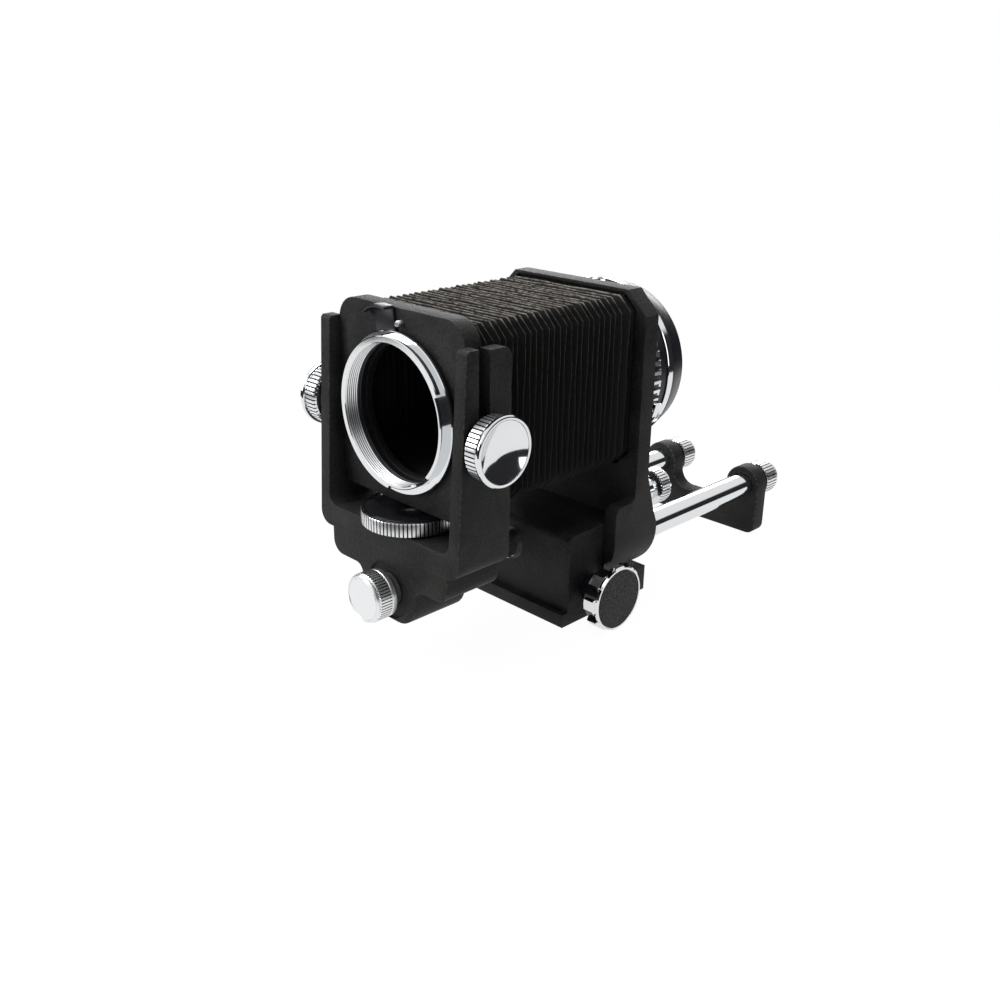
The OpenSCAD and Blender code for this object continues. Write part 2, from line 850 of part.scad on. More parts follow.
module pinion_shaft() {
    color("#a8aaad")
        union() {
            translate([0, pinion_y, pinion_h])
                side_slab(-pinion_w / 2, pinion_w / 2)
                    polygon(pinion_points());
            along_x(pinion_shaft_d / 2, -cavity_w / 2 - bush_len + 1, focus_shaft_out, pinion_y, pinion_h);
        }
}

module focus_knob() {
    lobe_step = 360 / focus_lobes;
    face_x = focus_knob_x + focus_knob_len;
    color("#d6d8da")
        difference() {
            union() {
                along_x(focus_knob_d / 2, focus_knob_x, face_x - focus_chamfer, pinion_y, pinion_h);
                translate([face_x - focus_chamfer, pinion_y, pinion_h])
                    rotate([0, 90, 0])
                        cylinder(r1 = focus_knob_d / 2, r2 = focus_knob_d / 2 - focus_chamfer, h = focus_chamfer);
                along_x(focus_hub_r, focus_knob_x - focus_hub_t, focus_knob_x, pinion_y, pinion_h);
                along_x(pinion_shaft_d / 2 + focus_sleeve_wall, block_w / 2 + 1, focus_knob_x, pinion_y, pinion_h);
            }
            for (i = [0 : focus_lobes - 1])
                translate([0, pinion_y, pinion_h])
                    rotate([lobe_step * (i + 0.5), 0, 0])
                        along_x(focus_channel_r, focus_knob_x - over, face_x - focus_channel_end,
                            0, focus_knob_d / 2 + focus_channel_r - focus_lobe_depth);
            along_x(pinion_shaft_d / 2, block_w / 2, focus_shaft_out, pinion_y, pinion_h);
            along_x(focus_cap_r, face_x - focus_cap_t, face_x + over, pinion_y, pinion_h);
        }
}

module focus_knob_cap() {
    color("#4a4648")
        along_x(focus_cap_r, focus_knob_x + focus_knob_len - focus_cap_t, focus_knob_x + focus_knob_len,
            pinion_y, pinion_h);
}

module ram() {
    color("#b4b6b9")
        difference() {
            union() {
                along_y(ram_r, ram_front, ram_back, 0, ram_h);
                // Stud that the end knob turns on
                along_y(front_screw_d / 2 - run_fit, ram_back - 1, ram_back + ram_screw_in, 0, ram_h);
            }
            // Rack teeth in the underside: the gaps between them
            for (i = [0 : rack_teeth])
                side_slab(-ram_r, ram_r)
                    translate([rack_start + i * rack_pitch, ram_h - ram_r])
                        polygon([[-rack_gap_mouth / 2 - 0.2, -over], [rack_gap_mouth / 2 + 0.2, -over],
                            [rack_gap_root / 2, rack_depth], [-rack_gap_root / 2, rack_depth]]);
            // Screw hole of the front knob
            along_y(front_screw_d / 2, ram_front - over, ram_front + front_screw_in + 1, 0, ram_h);
        }
}

// ---- Front foot, yoke and swing wheel ----

module foot_outline() {
    difference() {
        union() {
            round_foot(-foot_w / 2, foot_top - foot_t, foot_w / 2, foot_top, foot_corner);
            round_foot(-column_w / 2, column_foot, column_w / 2, foot_top - 1, column_corner);
            translate([-column_w / 2 - column_fillet, foot_top - foot_t - column_fillet])
                square([column_w + 2 * column_fillet, column_fillet + 1]);
        }
        for (sx = [-1, 1])
            translate([sx * (column_w / 2 + column_fillet), foot_top - foot_t - column_fillet])
                circle(r = column_fillet);
    }
}

module front_foot() {
    color("#2c2c2d")
        difference() {
            front_slab(foot_front_y, foot_back_y)
                foot_outline();
            along_y(ram_r, ram_front, foot_back_y + over, 0, ram_h);
            along_y(front_screw_d / 2 + run_fit, foot_front_y - over, ram_front + over, 0, ram_h);
            along_y(spot_d / 2, foot_front_y - over, foot_front_y + spot_depth, 0, ram_h);
            translate([0, pivot_y, foot_top - stud_in])
                cylinder(d = stud_d, h = stud_in + over);
        }
}

module swing_stud() {
    color("#9a9c9f")
        translate([0, pivot_y, 0]) {
            translate([0, 0, foot_top - stud_in])
                cylinder(d = stud_d, h = stud_in + yoke_floor - foot_top - 0.2);
            translate([0, 0, yoke_floor - 1])
                cylinder(d = wheel_thread_d, h = wheel_bottom + 2.6 - yoke_floor + 1);
        }
}

module front_knob() {
    knob_back = foot_front_y + spot_depth - air;
    knob_front = knob_back - front_knob_len;
    color("#dcdddf")
        union() {
            along_y(front_knob_d / 2 + 0.6, knob_back - 3, knob_back, 0, ram_h);
            front_slab(knob_front + 1.5, knob_back - 3)
                translate([0, ram_h])
                    toothed(front_knob_d / 2, front_knob_d / 2 - 0.5, 40);
            along_y(front_knob_d / 2 - 0.4, knob_front, knob_front + 1.5, 0, ram_h);
            along_y(front_screw_d / 2 - run_fit, knob_back - 1, ram_front + front_screw_in, 0, ram_h);
        }
}

module ram_end_knob() {
    knob_y = ram_back + air;
    color("#dcdddf")
        difference() {
            union() {
                front_slab(knob_y + 1, knob_y + ram_knob_len)
                    translate([0, ram_h])
                        toothed(ram_knob_d / 2, ram_knob_d / 2 - 0.5, 36);
                along_y(ram_knob_d / 2 - 1.5, knob_y, knob_y + ram_knob_len + 1, 0, ram_h);
            }
            along_y(front_screw_d / 2, knob_y - over, ram_back + ram_screw_in + air, 0, ram_h);
        }
}

// The yoke from the front: a U with round corners
module yoke_outline() {
    difference() {
        round_foot(-arm_outer, yoke_bottom, arm_outer, prong_h, yoke_corner);
        round_foot(-arm_inner, yoke_floor, arm_inner, prong_h + over, yoke_inner_corner);
    }
}

// The yoke from the side: the front face leans, the rear one is upright
module yoke_profile() {
    back = pivot_y + yoke_back;
    rear_top_h = prong_h - rear_prong_drop;
    polygon(concat(
        [[pivot_y - yoke_front_foot, yoke_bottom - over], [back - 3, yoke_bottom - over], [back, yoke_bottom + 3]],
        quarter(back - prong_corner, rear_top_h - prong_corner, prong_corner, 0),
        [[pivot_y, rear_top_h], [pivot_y, prong_h], [pivot_y - yoke_front_top + 1, prong_h],
         [pivot_y - yoke_front_top, prong_h - 1]]));
}

module yoke() {
    color("#2a2a2b")
        difference() {
            intersection() {
                front_slab(pivot_y - yoke_front_foot - over, pivot_y + yoke_back + over)
                    yoke_outline();
                side_slab(-arm_outer - over, arm_outer + over)
                    yoke_profile();
            }
            // Slots that the trunnions drop into
            side_slab(-arm_outer - over, arm_outer + over)
                translate([pivot_y - slot_w / 2, tilt_h])
                    square([slot_w, prong_h - tilt_h + over]);
            along_x(slot_w / 2, -arm_outer - over, arm_outer + over, pivot_y, tilt_h);
            // Swing bore
            translate([0, pivot_y, yoke_bottom - over])
                cylinder(r = stud_d / 2 + run_fit, h = yoke_floor - yoke_bottom + 2 * over);
        }
}

module wheel_rim() {
    color("#dcdddf")
        translate([0, pivot_y, wheel_bottom])
            difference() {
                linear_extrude(height = wheel_t)
                    toothed(wheel_d / 2, wheel_d / 2 - 0.6, wheel_teeth);
                translate([0, 0, wheel_t - wheel_disc_t])
                    cylinder(d = wheel_disc_d, h = wheel_disc_t + over);
                translate([0, 0, -over])
                    cylinder(d = wheel_thread_d + 2 * run_fit, h = wheel_t + 2 * over);
            }
}

module wheel_disc() {
    color("#222226")
        translate([0, pivot_y, wheel_bottom + wheel_t - wheel_disc_t])
            difference() {
                cylinder(d = wheel_disc_d, h = wheel_disc_t);
                translate([0, 0, -over])
                    cylinder(d = wheel_thread_d + 2 * run_fit, h = wheel_disc_t - 1.4 + over);
            }
}

// ---- Lens board ----

module lens_board() {
    color("#2c2c2d")
        difference() {
            front_slab(board_front, board_back)
                round_top(-board_w / 2, board_foot, board_w / 2, board_top, board_corner);
            along_y(lens_bore_r - lens_clear_wall, board_front - over, board_back + over, 0, axis_h);
            along_y(lens_neck_r, board_front - over, board_front + lens_neck_in, 0, axis_h);
            for (sx = [-1, 1])
                along_x(trunnion_d / 2, sx > 0 ? trunnion_in : -board_w / 2 - over,
                    sx > 0 ? board_w / 2 + over : -trunnion_in, pivot_y, tilt_h);
            along_y(stop_d / 2, board_front - over, board_front + 3, stop_x(), stop_z());
        }
}

function stop_x() = -stop_reach * sin(stop_angle) * 0.45;
function stop_z() = axis_h + stop_reach;

module board_trunnions() {
    color("#9a9c9f")
        for (sx = [-1, 1])
            along_x(trunnion_d / 2, sx > 0 ? trunnion_in : -trunnion_end,
                sx > 0 ? trunnion_end : -trunnion_in, pivot_y, tilt_h);
}

// A collar with a thin flange behind it and a neck that sits in the board
module lens_ring() {
    color("#d8dadc")
        difference() {
            union() {
                along_y(lens_collar_r, ring_front, flange_back, 0, axis_h);
                along_y(lens_ring_r, flange_back - lens_flange_t, flange_back, 0, axis_h);
                along_y(lens_neck_r, flange_back, board_front + lens_neck_in, 0, axis_h);
            }
            along_y(lens_bore_r, ring_front - over, board_front + lens_neck_in + over, 0, axis_h);
        }
}

module stop_pin() {
    color("#8c8e91")
        along_y(stop_d / 2, board_front - stop_out, board_front + 3, stop_x(), stop_z());
}

module front_bellows_frame() {
    color("#1c1c1d")
        bellows_frame(board_back, bellows_w - 2 * bellows_frame_inset,
            axis_h - bellows_drop + bellows_frame_inset, axis_h + bellows_rise - bellows_frame_inset);
}

// The lens lock lever turns round the ring's neck
module lens_lock_lever() {
    y1 = board_front - lever_gap;
    y0 = y1 - lever_t;
    color("#3a393c")
        translate([0, 0, axis_h])
            rotate([0, -lever_turn - 7, 0])
                union() {
                    difference() {
                        union() {
                            along_y(lever_ring_r, y0, y1);
                            translate([-lever_w / 2, y0, 0])
                                cube([lever_w, lever_t, lever_reach]);
                        }
                        along_y(lens_neck_r + run_fit, y0 - over, y1 + over);
                    }
                    translate([-lever_w / 2 - 2, y0 - lip_out, lever_reach - lip_t])
                        cube([lever_w + 2, lip_out, lip_t]);
                }
}

// ---- Tilt knobs ----

module tilt_knob(sx) {
    x0 = tilt_knob_x;
    x1 = tilt_knob_x + tilt_knob_len;
    color("#dcdddf")
        mirror([sx > 0 ? 0 : 1, 0, 0])
            difference() {
                union() {
                    translate([0, pivot_y, tilt_h])
                        side_slab(x0 + tilt_shoulder, x1 - tilt_rim_t)
                            toothed(tilt_body_d / 2, tilt_body_d / 2 - tilt_tooth_depth, tilt_teeth);
                    along_x(tilt_body_d / 2 - tilt_hub_wall, x0, x0 + tilt_shoulder + 0.2, pivot_y, tilt_h);
                    along_x(tilt_knob_d / 2, x1 - tilt_rim_t, x1, pivot_y, tilt_h);
                }
                along_x(trunnion_d / 2 + run_fit, x0 - over, trunnion_end + 0.5, pivot_y, tilt_h);
                along_x(tilt_knob_d / 2 - tilt_cap_wall, x1 - tilt_cap_seat, x1 + over, pivot_y, tilt_h);
            }
}

// A dished mirror cap in the knob's rim: thin in the middle, thick at the edge
module tilt_cap(sx) {
    cap_r = tilt_knob_d / 2 - tilt_cap_wall;
    seat_x = tilt_knob_x + tilt_knob_len - tilt_cap_seat;
    rise = tilt_cap_rise - tilt_cap_edge;
    color("#e4e6e8")
        mirror([sx > 0 ? 0 : 1, 0, 0])
            translate([seat_x, pivot_y, tilt_h])
                rotate([0, 90, 0])
                    rotate_extrude()
                        polygon(concat([[0, 0], [cap_r, 0]], [for (i = [5 : -1 : 0])
                            [cap_r * i / 5, tilt_cap_edge + rise * (1 - i * i / 25)]]));
}

module tilt_knob_right() {
    tilt_knob(1);
}

module tilt_cap_right() {
    tilt_cap(1);
}

module tilt_knob_left() {
    tilt_knob(-1);
}

module tilt_cap_left() {
    tilt_cap(-1);
}

module tilt_washers() {
    color("#1d1d1e")
        for (x0 = [-arm_outer - air - tilt_washer_t, arm_outer + air])
            difference() {
                along_x(tilt_washer_d / 2, x0, x0 + tilt_washer_t, pivot_y, tilt_h);
                along_x(trunnion_d / 2, x0 - over, x0 + tilt_washer_t + over, pivot_y, tilt_h);
            }
}

base_block();
tripod_bush();
ram_bush_front();
ram_bush_rear();
pinion_bushes();
rear_standard();
standard_screws();
rear_bellows_frame();
bellows();
rod_right();
rod_left();
end_bracket();
mount_tube();
mount_seat_ring();
mount_rear_rim();
mount_screws();
mount_lock_ring();
mount_catch();
pinion_shaft();
focus_knob();
focus_knob_cap();
ram();
front_foot();
swing_stud();
front_knob();
ram_end_knob();
yoke();
wheel_rim();
wheel_disc();
lens_board();
board_trunnions();
lens_ring();
stop_pin();
front_bellows_frame();
lens_lock_lever();
tilt_knob_right();
tilt_cap_right();
tilt_knob_left();
tilt_cap_left();
tilt_washers();
end_knob_right();
end_knob_left();
end_washers();
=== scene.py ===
import json
import math
import bmesh
import bpy
from mathutils import Matrix, Vector

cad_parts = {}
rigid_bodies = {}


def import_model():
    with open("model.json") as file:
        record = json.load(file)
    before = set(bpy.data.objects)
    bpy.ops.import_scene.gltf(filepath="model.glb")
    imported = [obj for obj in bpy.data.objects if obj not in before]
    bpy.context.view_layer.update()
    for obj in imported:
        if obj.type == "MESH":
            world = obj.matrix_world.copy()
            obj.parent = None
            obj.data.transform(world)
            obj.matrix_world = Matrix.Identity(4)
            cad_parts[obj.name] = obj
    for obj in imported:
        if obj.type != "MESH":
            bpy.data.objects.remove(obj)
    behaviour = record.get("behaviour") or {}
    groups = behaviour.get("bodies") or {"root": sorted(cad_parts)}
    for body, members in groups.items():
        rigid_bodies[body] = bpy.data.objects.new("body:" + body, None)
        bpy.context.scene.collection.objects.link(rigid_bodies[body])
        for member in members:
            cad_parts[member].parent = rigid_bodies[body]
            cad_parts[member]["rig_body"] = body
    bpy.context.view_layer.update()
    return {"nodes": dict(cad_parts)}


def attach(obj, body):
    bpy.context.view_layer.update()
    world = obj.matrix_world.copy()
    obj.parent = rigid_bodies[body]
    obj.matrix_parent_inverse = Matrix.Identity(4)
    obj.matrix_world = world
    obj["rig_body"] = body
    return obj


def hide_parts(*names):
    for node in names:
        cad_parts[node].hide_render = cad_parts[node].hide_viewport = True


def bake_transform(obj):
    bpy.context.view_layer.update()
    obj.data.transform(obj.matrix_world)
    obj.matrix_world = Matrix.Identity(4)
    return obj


# A macro bellows unit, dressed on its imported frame. +Y runs from the lens side to the camera
# side and +X to the focus knob. Lengths are in millimetres until they reach a mesh, where MM
# turns them to metres.
MM = 0.001
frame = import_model()

# Named places and sizes, as part.scad gives them or works them out
AXIS_H = 103.0
PIVOT_Y = -83.2
TILT_H = 99.5
TILT_KNOB_X = 45.1
BOARD_FRONT = PIVOT_Y - 4.0
BOARD_BACK = PIVOT_Y + 4.0
RING_FRONT = BOARD_FRONT - 5.6
RING_BORE_R = 28.5
RING_NECK_R = 30.1
RING_COLLAR_R = 31.2
RING_FLANGE_R = 32.8
RAM_H = 29.0
RAM_FRONT_KNOB_Y = -95.3
RAM_END_Y = 76.3
ROD_X = 26.85
ROD_H = 26.2
ROD_NUT_Y = 132.4
PINION_Y = -12.0
PINION_H = 15.35
FOCUS_KNOB_X = 46.5
WHEEL_H = 56.6
MOUNT_BORE_R = 30.0
MOUNT_TUBE_R = 33.0
LOCK_RING_Y = 20.8
SEAT_RING_Y = 29.8
REAR_RIM_Y = 38.2
CATCH_ANGLE = 17

SIDES = (("right", 1), ("left", -1))

# Turns a part made about Z so that its axis lies along X, Y or Z
ALONG = {
    "+X": Matrix.Rotation(math.radians(90), 4, "Y"),
    "-X": Matrix.Rotation(math.radians(-90), 4, "Y"),
    "+Y": Matrix.Rotation(math.radians(-90), 4, "X"),
    "-Y": Matrix.Rotation(math.radians(90), 4, "X"),
    "+Z": Matrix.Identity(4),
}


# ---------------------------------------------------------------- materials

def colour(hex_code):
    """An sRGB hex colour as linear RGBA."""
    parts = [int(hex_code[i:i + 2], 16) / 255 for i in (1, 3, 5)]
    return [p / 12.92 if p <= 0.04045 else ((p + 0.055) / 1.055) ** 2.4 for p in parts] + [1.0]


def cells(size_mm):
    """The scale at which a pattern's cells have a given size."""
    return 1 / (size_mm * MM)


def node(tree, kind, links=(), stops=(), **settings):
    """Adds a node. Settings name its properties or its sockets, or number a socket as in _1.
    A link is (source, socket), where a node stands for its first output. Stops colour a ramp."""
    made = tree.nodes.new(kind)
    sockets = {s.name.lower().replace(" ", "_"): s for s in reversed(made.inputs[:])}
    for name, value in settings.items():
        if name in sockets:
            sockets[name].default_value = value
        elif name[0] == "_":
            made.inputs[int(name[1:])].default_value = value
        else:
            setattr(made, name, value)
    for number, (position, hex_code) in enumerate(stops):
        made.color_ramp.elements[number].position = position
        made.color_ramp.elements[number].color = colour(hex_code)
    for source, target in links:
        output = source.outputs[0] if isinstance(source, bpy.types.Node) else source
        tree.links.new(output, made.inputs[target])
    return made


def bare_tree(owner):
    """The emptied node tree of a material or of the world."""
    owner.use_nodes = True
    owner.node_tree.nodes.clear()
    return owner.node_tree


def new_material(name):
    """A material without a shader, with its tree and the place on the piece."""
    material = bpy.data.materials.new(name)
    tree = bare_tree(material)
    return material, tree, node(tree, "ShaderNodeTexCoord").outputs["Object"]


def shade(material, links=(), **settings):
    """Gives a material its Principled shader."""
    shader = node(material.node_tree, "ShaderNodeBsdfPrincipled", links, **settings)
    node(material.node_tree, "ShaderNodeOutputMaterial", [(shader, "Surface")])
    return material


# Crinkle-finish stoving paint on die castings: a matt black skin of wrinkles about 1.2 mm
# apart, cloudy over some 17 mm, and rubbed grey along its edges.
def crinkle_paint():
    material, tree, place = new_material("crinkle_black_paint")
    grain = node(tree, "ShaderNodeTexNoise", [(place, "Vector")], scale=cells(1.22), detail=3.0,
                 roughness=0.62)
    clouds = node(tree, "ShaderNodeTexNoise", [(place, "Vector")], scale=cells(16.7), detail=2.0)
    both = node(tree, "ShaderNodeMath", [(grain, 0), (clouds, 1)], operation="ADD")
    mean = node(tree, "ShaderNodeMath", [(both, 0)], operation="MULTIPLY", _1=0.5)
    base = node(tree, "ShaderNodeValToRGB", [(mean, 0)], [(0.42, "#0e0e0e"), (0.58, "#20201f")])
    wear = node(tree, "ShaderNodeAttribute", attribute_name="wear").outputs["Fac"]
    speck = node(tree, "ShaderNodeMapRange", [(grain, "Value")], from_min=0.44, from_max=0.6)
    worn = node(tree, "ShaderNodeMath", [(wear, 0), (speck, 1)], operation="MULTIPLY")
    rubbed = node(tree, "ShaderNodeMix", [(worn, "Factor"), (base, 6)], data_type="RGBA",
                  _7=colour("#3b3a38")).outputs[2]
    rough = node(tree, "ShaderNodeMapRange", [(grain, "Value")], to_min=0.5, to_max=0.66)
    wrinkles = node(tree, "ShaderNodeBump", [(grain, "Height")], strength=0.75, distance=0.5 * MM)
    return shade(material, [(rubbed, "Base Color"), (rough, "Roughness"), (wrinkles, "Normal")],
                 ior=1.45, specular_ior_level=0.25)


# Bright chromium plate over polished brass: a mirror, with a faint haze in patches of 11 mm.
def chrome_plate():
    material, tree, place = new_material("bright_chrome_plate")
    haze = node(tree, "ShaderNodeTexNoise", [(place, "Vector")], scale=cells(11.1), detail=3.0)
    rough = node(tree, "ShaderNodeMapRange", [(haze, "Value")], to_min=0.04, to_max=0.13)
    return shade(material, [(rough, "Roughness")], metallic=1.0, base_color=colour("#dcdee0"))


# Satin chrome: the same plate over a blasted face, pale and soft. The grit is drawn at
# 0.4 mm, which is coarser than the real one, so that it shows.
def satin_chrome():
    material, tree, place = new_material("satin_chrome_plate")
    grit = node(tree, "ShaderNodeTexNoise", [(place, "Vector")], scale=cells(0.4), detail=2.0)
    pits = node(tree, "ShaderNodeBump", [(grit, "Height")], strength=0.12, distance=0.05 * MM)
    return shade(material, [(pits, "Normal")], metallic=1.0, roughness=0.32,
                 base_color=colour("#e6e7e8"))


# Machined steel, lightly oiled: dull silver, with patches of 1.4 mm in its shine.
def machined_steel():
    material, tree, place = new_material("machined_steel")
    oil = node(tree, "ShaderNodeTexNoise", [(place, "Vector")], scale=cells(1.43), detail=2.0)
    rough = node(tree, "ShaderNodeMapRange", [(oil, "Value")], to_min=0.2, to_max=0.38)
    return shade(material, [(rough, "Roughness")], metallic=1.0, base_color=colour("#a9abad"))


# Turned bearing bronze: a warm brown, dulled in patches of 5 mm.
def bearing_bronze():
    material, tree, place = new_material("bearing_bronze")
    dull = node(tree, "ShaderNodeTexNoise", [(place, "Vector")], scale=cells(5), detail=3.0)
    base = node(tree, "ShaderNodeValToRGB", [(dull, 0)], [(0.35, "#8a6a3e"), (0.65, "#b08c54")])
    return shade(material, [(base, "Base Color")], metallic=1.0, roughness=0.35)


# Black anodised aluminium: a smooth blue-grey black with a soft highlight, a little uneven
# over 3 mm.
def black_anodised():
    material, tree, place = new_material("black_anodised_aluminium")
    dye = node(tree, "ShaderNodeTexNoise", [(place, "Vector")], scale=cells(3.33), detail=3.0)
    base = node(tree, "ShaderNodeValToRGB", [(dye, 0)], [(0.3, "#1a1a20"), (0.7, "#26252c")])
    rough = node(tree, "ShaderNodeMapRange", [(dye, "Value")], to_min=0.3, to_max=0.42)
    return shade(material, [(base, "Base Color"), (rough, "Roughness")], metallic=0.35, ior=1.5)


# Flock or matt black varnish on inside faces, which swallows light. Its nap is drawn at
# 0.7 mm.
def dead_black():
    material, tree, place = new_material("matt_black_lining")
    nap = node(tree, "ShaderNodeTexNoise", [(place, "Vector")], scale=cells(0.667), detail=2.0)
    fuzz = node(tree, "ShaderNodeBump", [(nap, "Height")], strength=0.4, distance=0.15 * MM)
    return shade(material, [(fuzz, "Normal")], roughness=0.9, base_color=colour("#0c0c0c"))


# Rubberised bellows cloth: matt black calico, rubbed to a pale grey along the tops of its
# folds in specks of 2.4 mm, as worn cloth and as a painted highlight on the crests. The weave
# is about 0.4 mm, drawn at 0.6 mm so that it shows.
def bellows_cloth():
    material, tree, place = new_material("rubberised_bellows_cloth")
    dust = node(tree, "ShaderNodeTexNoise", [(place, "Vector")], scale=cells(2.38), detail=4.0,
                roughness=0.65)
    weave = node(tree, "ShaderNodeTexNoise", [(place, "Vector")], scale=cells(0.588), detail=2.0)
    fold = node(tree, "ShaderNodeAttribute", attribute_name="fold").outputs["Fac"]
    crest = node(tree, "ShaderNodeMapRange", [(fold, "Value")], from_min=0.82, from_max=1.0)
    specks = node(tree, "ShaderNodeMapRange", [(dust, "Value")], from_min=0.34, from_max=0.64)
    # Worn cloth and painted highlight along the crests
    rub = node(tree, "ShaderNodeMath", [(crest, 0), (specks, 1)], operation="MULTIPLY")
    base = node(tree, "ShaderNodeValToRGB", [(dust, 0)], [(0.3, "#080808"), (0.7, "#100f0e")])
    tone = node(tree, "ShaderNodeMix", [(rub, "Factor"), (base, 6)], data_type="RGBA",
                _7=colour("#98928b")).outputs[2]
    threads = node(tree, "ShaderNodeBump", [(weave, "Height")], strength=0.5, distance=0.2 * MM)
    return shade(material, [(tone, "Base Color"), (threads, "Normal")], roughness=0.78, ior=1.45,
                 specular_ior_level=0.3)


# Embossed leatherette: dark grey vinyl with a grain of short wrinkles, 0.8 mm by 1.6 mm.
def pebbled_leatherette():
    material, tree, place = new_material("pebbled_leatherette")
    warp = node(tree, "ShaderNodeTexNoise", [(place, "Vector")], scale=cells(2), detail=2.0)
    bent = node(tree, "ShaderNodeVectorMath", [(warp.outputs["Color"], 0)], operation="SCALE",
                scale=1.2 * MM)
    moved = node(tree, "ShaderNodeVectorMath", [(place, 0), (bent, 1)], operation="ADD")
    drawn_out = node(tree, "ShaderNodeVectorMath", [(moved, 0)], operation="MULTIPLY",
                     _1=(1.0, 0.5, 1.0))
    grain = node(tree, "ShaderNodeTexVoronoi", [(drawn_out, "Vector")], scale=cells(0.833),
                 feature="DISTANCE_TO_EDGE").outputs["Distance"]
    high = node(tree, "ShaderNodeMapRange", [(grain, "Value")], from_min=0.02, from_max=0.3)
    base = node(tree, "ShaderNodeValToRGB", [(high, 0)], [(0.0, "#0b0a0a"), (0.7, "#3d3b3b")])
    pebbles = node(tree, "ShaderNodeBump", [(high, "Height")], strength=0.9, distance=0.4 * MM)
    return shade(material, [(base, "Base Color"), (pebbles, "Normal")], roughness=0.6, ior=1.48,
                 specular_ior_level=0.3)


# Moulded black plastic: smooth and slightly greasy, in patches of 4 mm.
def moulded_plastic():
    material, tree, place = new_material("moulded_black_plastic")
    grease = node(tree, "ShaderNodeTexNoise", [(place, "Vector")], scale=cells(4), detail=2.0)
    base = node(tree, "ShaderNodeValToRGB", [(grease, 0)], [(0.3, "#111116"), (0.7, "#18181e")])
    rough = node(tree, "ShaderNodeMapRange", [(grease, "Value")], to_min=0.12, to_max=0.24)
    return shade(material, [(base, "Base Color"), (rough, "Roughness")], ior=1.5)


PAINT = crinkle_paint()
CHROME = chrome_plate()
SATIN = satin_chrome()
STEEL = machined_steel()
BRONZE = bearing_bronze()
ANODISED = black_anodised()
LINING = dead_black()
CLOTH = bellows_cloth()
LEATHERETTE = pebbled_leatherette()
PLASTIC = moulded_plastic()

# A knurled knob's finishes, and their places in the list. The last, dark anodising, is painted shade: it is
# drawn in the knurl's grooves and in other faces that lie in shade.
KNOB_FINISHES = [CHROME, SATIN, ANODISED]
PLATE, LAND, PAINTED_SHADE = 0, 1, 2


# ------------------------------------------------------------- mesh helpers

def crease(bm, degrees):
    """Smooth shading with sharp edges above an angle."""
    for face in bm.faces:
        face.smooth = True
    for edge in bm.edges:
        edge.smooth = len(edge.link_faces) == 2 and edge.calc_face_angle(0.0) < math.radians(degrees)


def finish_piece(name, bm, body, materials, stands_for, degrees=32):
    """A bmesh as a piece of the part, which stands for a CAD node. It rides on a body, if one is
    named."""
    crease(bm, degrees)
    mesh = bpy.data.meshes.new(name)
    bm.to_mesh(mesh)
    bm.free()
    for material in materials:
        mesh.materials.append(material)
    piece = bpy.data.objects.new(name, mesh)
    bpy.context.scene.collection.objects.link(piece)
    if body:
        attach(piece, body)
    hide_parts(stands_for)
    return piece


def turned(profile, steps, closed=False):
    """A part turned on a lathe about Z, from a profile of (radius, height)."""
    bm = bmesh.new()
    points = [bm.verts.new((r * MM, 0, h * MM)) for r, h in profile]
    edges = [bm.edges.new(pair) for pair in zip(points, points[1:])]
    if closed:
        edges.append(bm.edges.new((points[-1], points[0])))
    bmesh.ops.spin(bm, geom=points + edges, cent=(0, 0, 0), axis=(0, 0, 1), angle=2 * math.pi,
                   steps=steps, use_merge=True)
    bmesh.ops.remove_doubles(bm, verts=bm.verts, dist=0.002 * MM)
    bmesh.ops.recalc_face_normals(bm, faces=bm.faces)
    return bm


def shrink(bm, vert, new_r):
    """Moves a point of a turned part in towards Z, to a radius."""
    scale = new_r * MM / math.hypot(vert.co.x, vert.co.y)
    bmesh.ops.scale(bm, vec=(scale, scale, 1), verts=[vert])


def paint_faces(bm, place, fits):
    """Gives the faces whose middle, in millimetres, fits a test a place in the list of finishes."""
    for face in bm.faces:
        if fits(face.calc_center_median() / MM):
            face.material_index = place


# Lathe steps to a tooth
TOOTH_STEPS = 6


def cut_teeth(bm, count, depth, skin, low, high, wide, land, groove):
    """Cuts grooves along Z into a turned part with TOOTH_STEPS lathe steps to a tooth. Where the
    skin lies outside a radius and between two heights, the last steps of each tooth are drawn in.
    Lands take their own place in the list of finishes, and grooves a dark one, as painted shade."""
    for v in bm.verts:
        r = math.hypot(v.co.x, v.co.y) / MM
        if r > skin and low < v.co.z / MM < high:
            faces = [f for f in v.link_faces if low < f.calc_center_median().z / MM < high]
            for face in faces:
                if face.material_index != groove:
                    face.material_index = land
            step = round(math.atan2(v.co.y, v.co.x) / (2 * math.pi) * count * TOOTH_STEPS)
            if step % TOOTH_STEPS >= TOOTH_STEPS - wide:
                shrink(bm, v, r - depth)
                for face in faces:
                    face.material_index = groove


def put(bm, along, x, y, z):
    """Lays a part made about Z along an axis and moves it to its place."""
    place = Matrix.Translation((x * MM, y * MM, z * MM))
    bmesh.ops.transform(bm, matrix=place @ ALONG[along], verts=bm.verts)
    return bm


def join(first, second):
    """Adds the second bmesh to the first."""
    spare = bpy.data.meshes.new("spare")
    second.to_mesh(spare)
    second.free()
    first.from_mesh(spare)
    bpy.data.meshes.remove(spare)


def ease_edges(bm, edges, width, segments, loop_slide=False):
    """Rounds some edges over. Returns the new faces."""
    return bmesh.ops.bevel(bm, geom=edges, offset=width * MM, segments=segments, profile=0.5, affect="EDGES",
                           material=-1, clamp_overlap=True, loop_slide=loop_slide)["faces"]


def block(low, high):
    """A sharp box between two corners."""
    bm = bmesh.new()
    bmesh.ops.create_cube(bm, size=1.0)
    bmesh.ops.scale(bm, vec=[(b - a) * MM for a, b in zip(low, high)], verts=bm.verts)
    bmesh.ops.translate(bm, vec=[(a + b) / 2 * MM for a, b in zip(low, high)], verts=bm.verts)
    return bm


# ---------------------------------------------------------------- castings

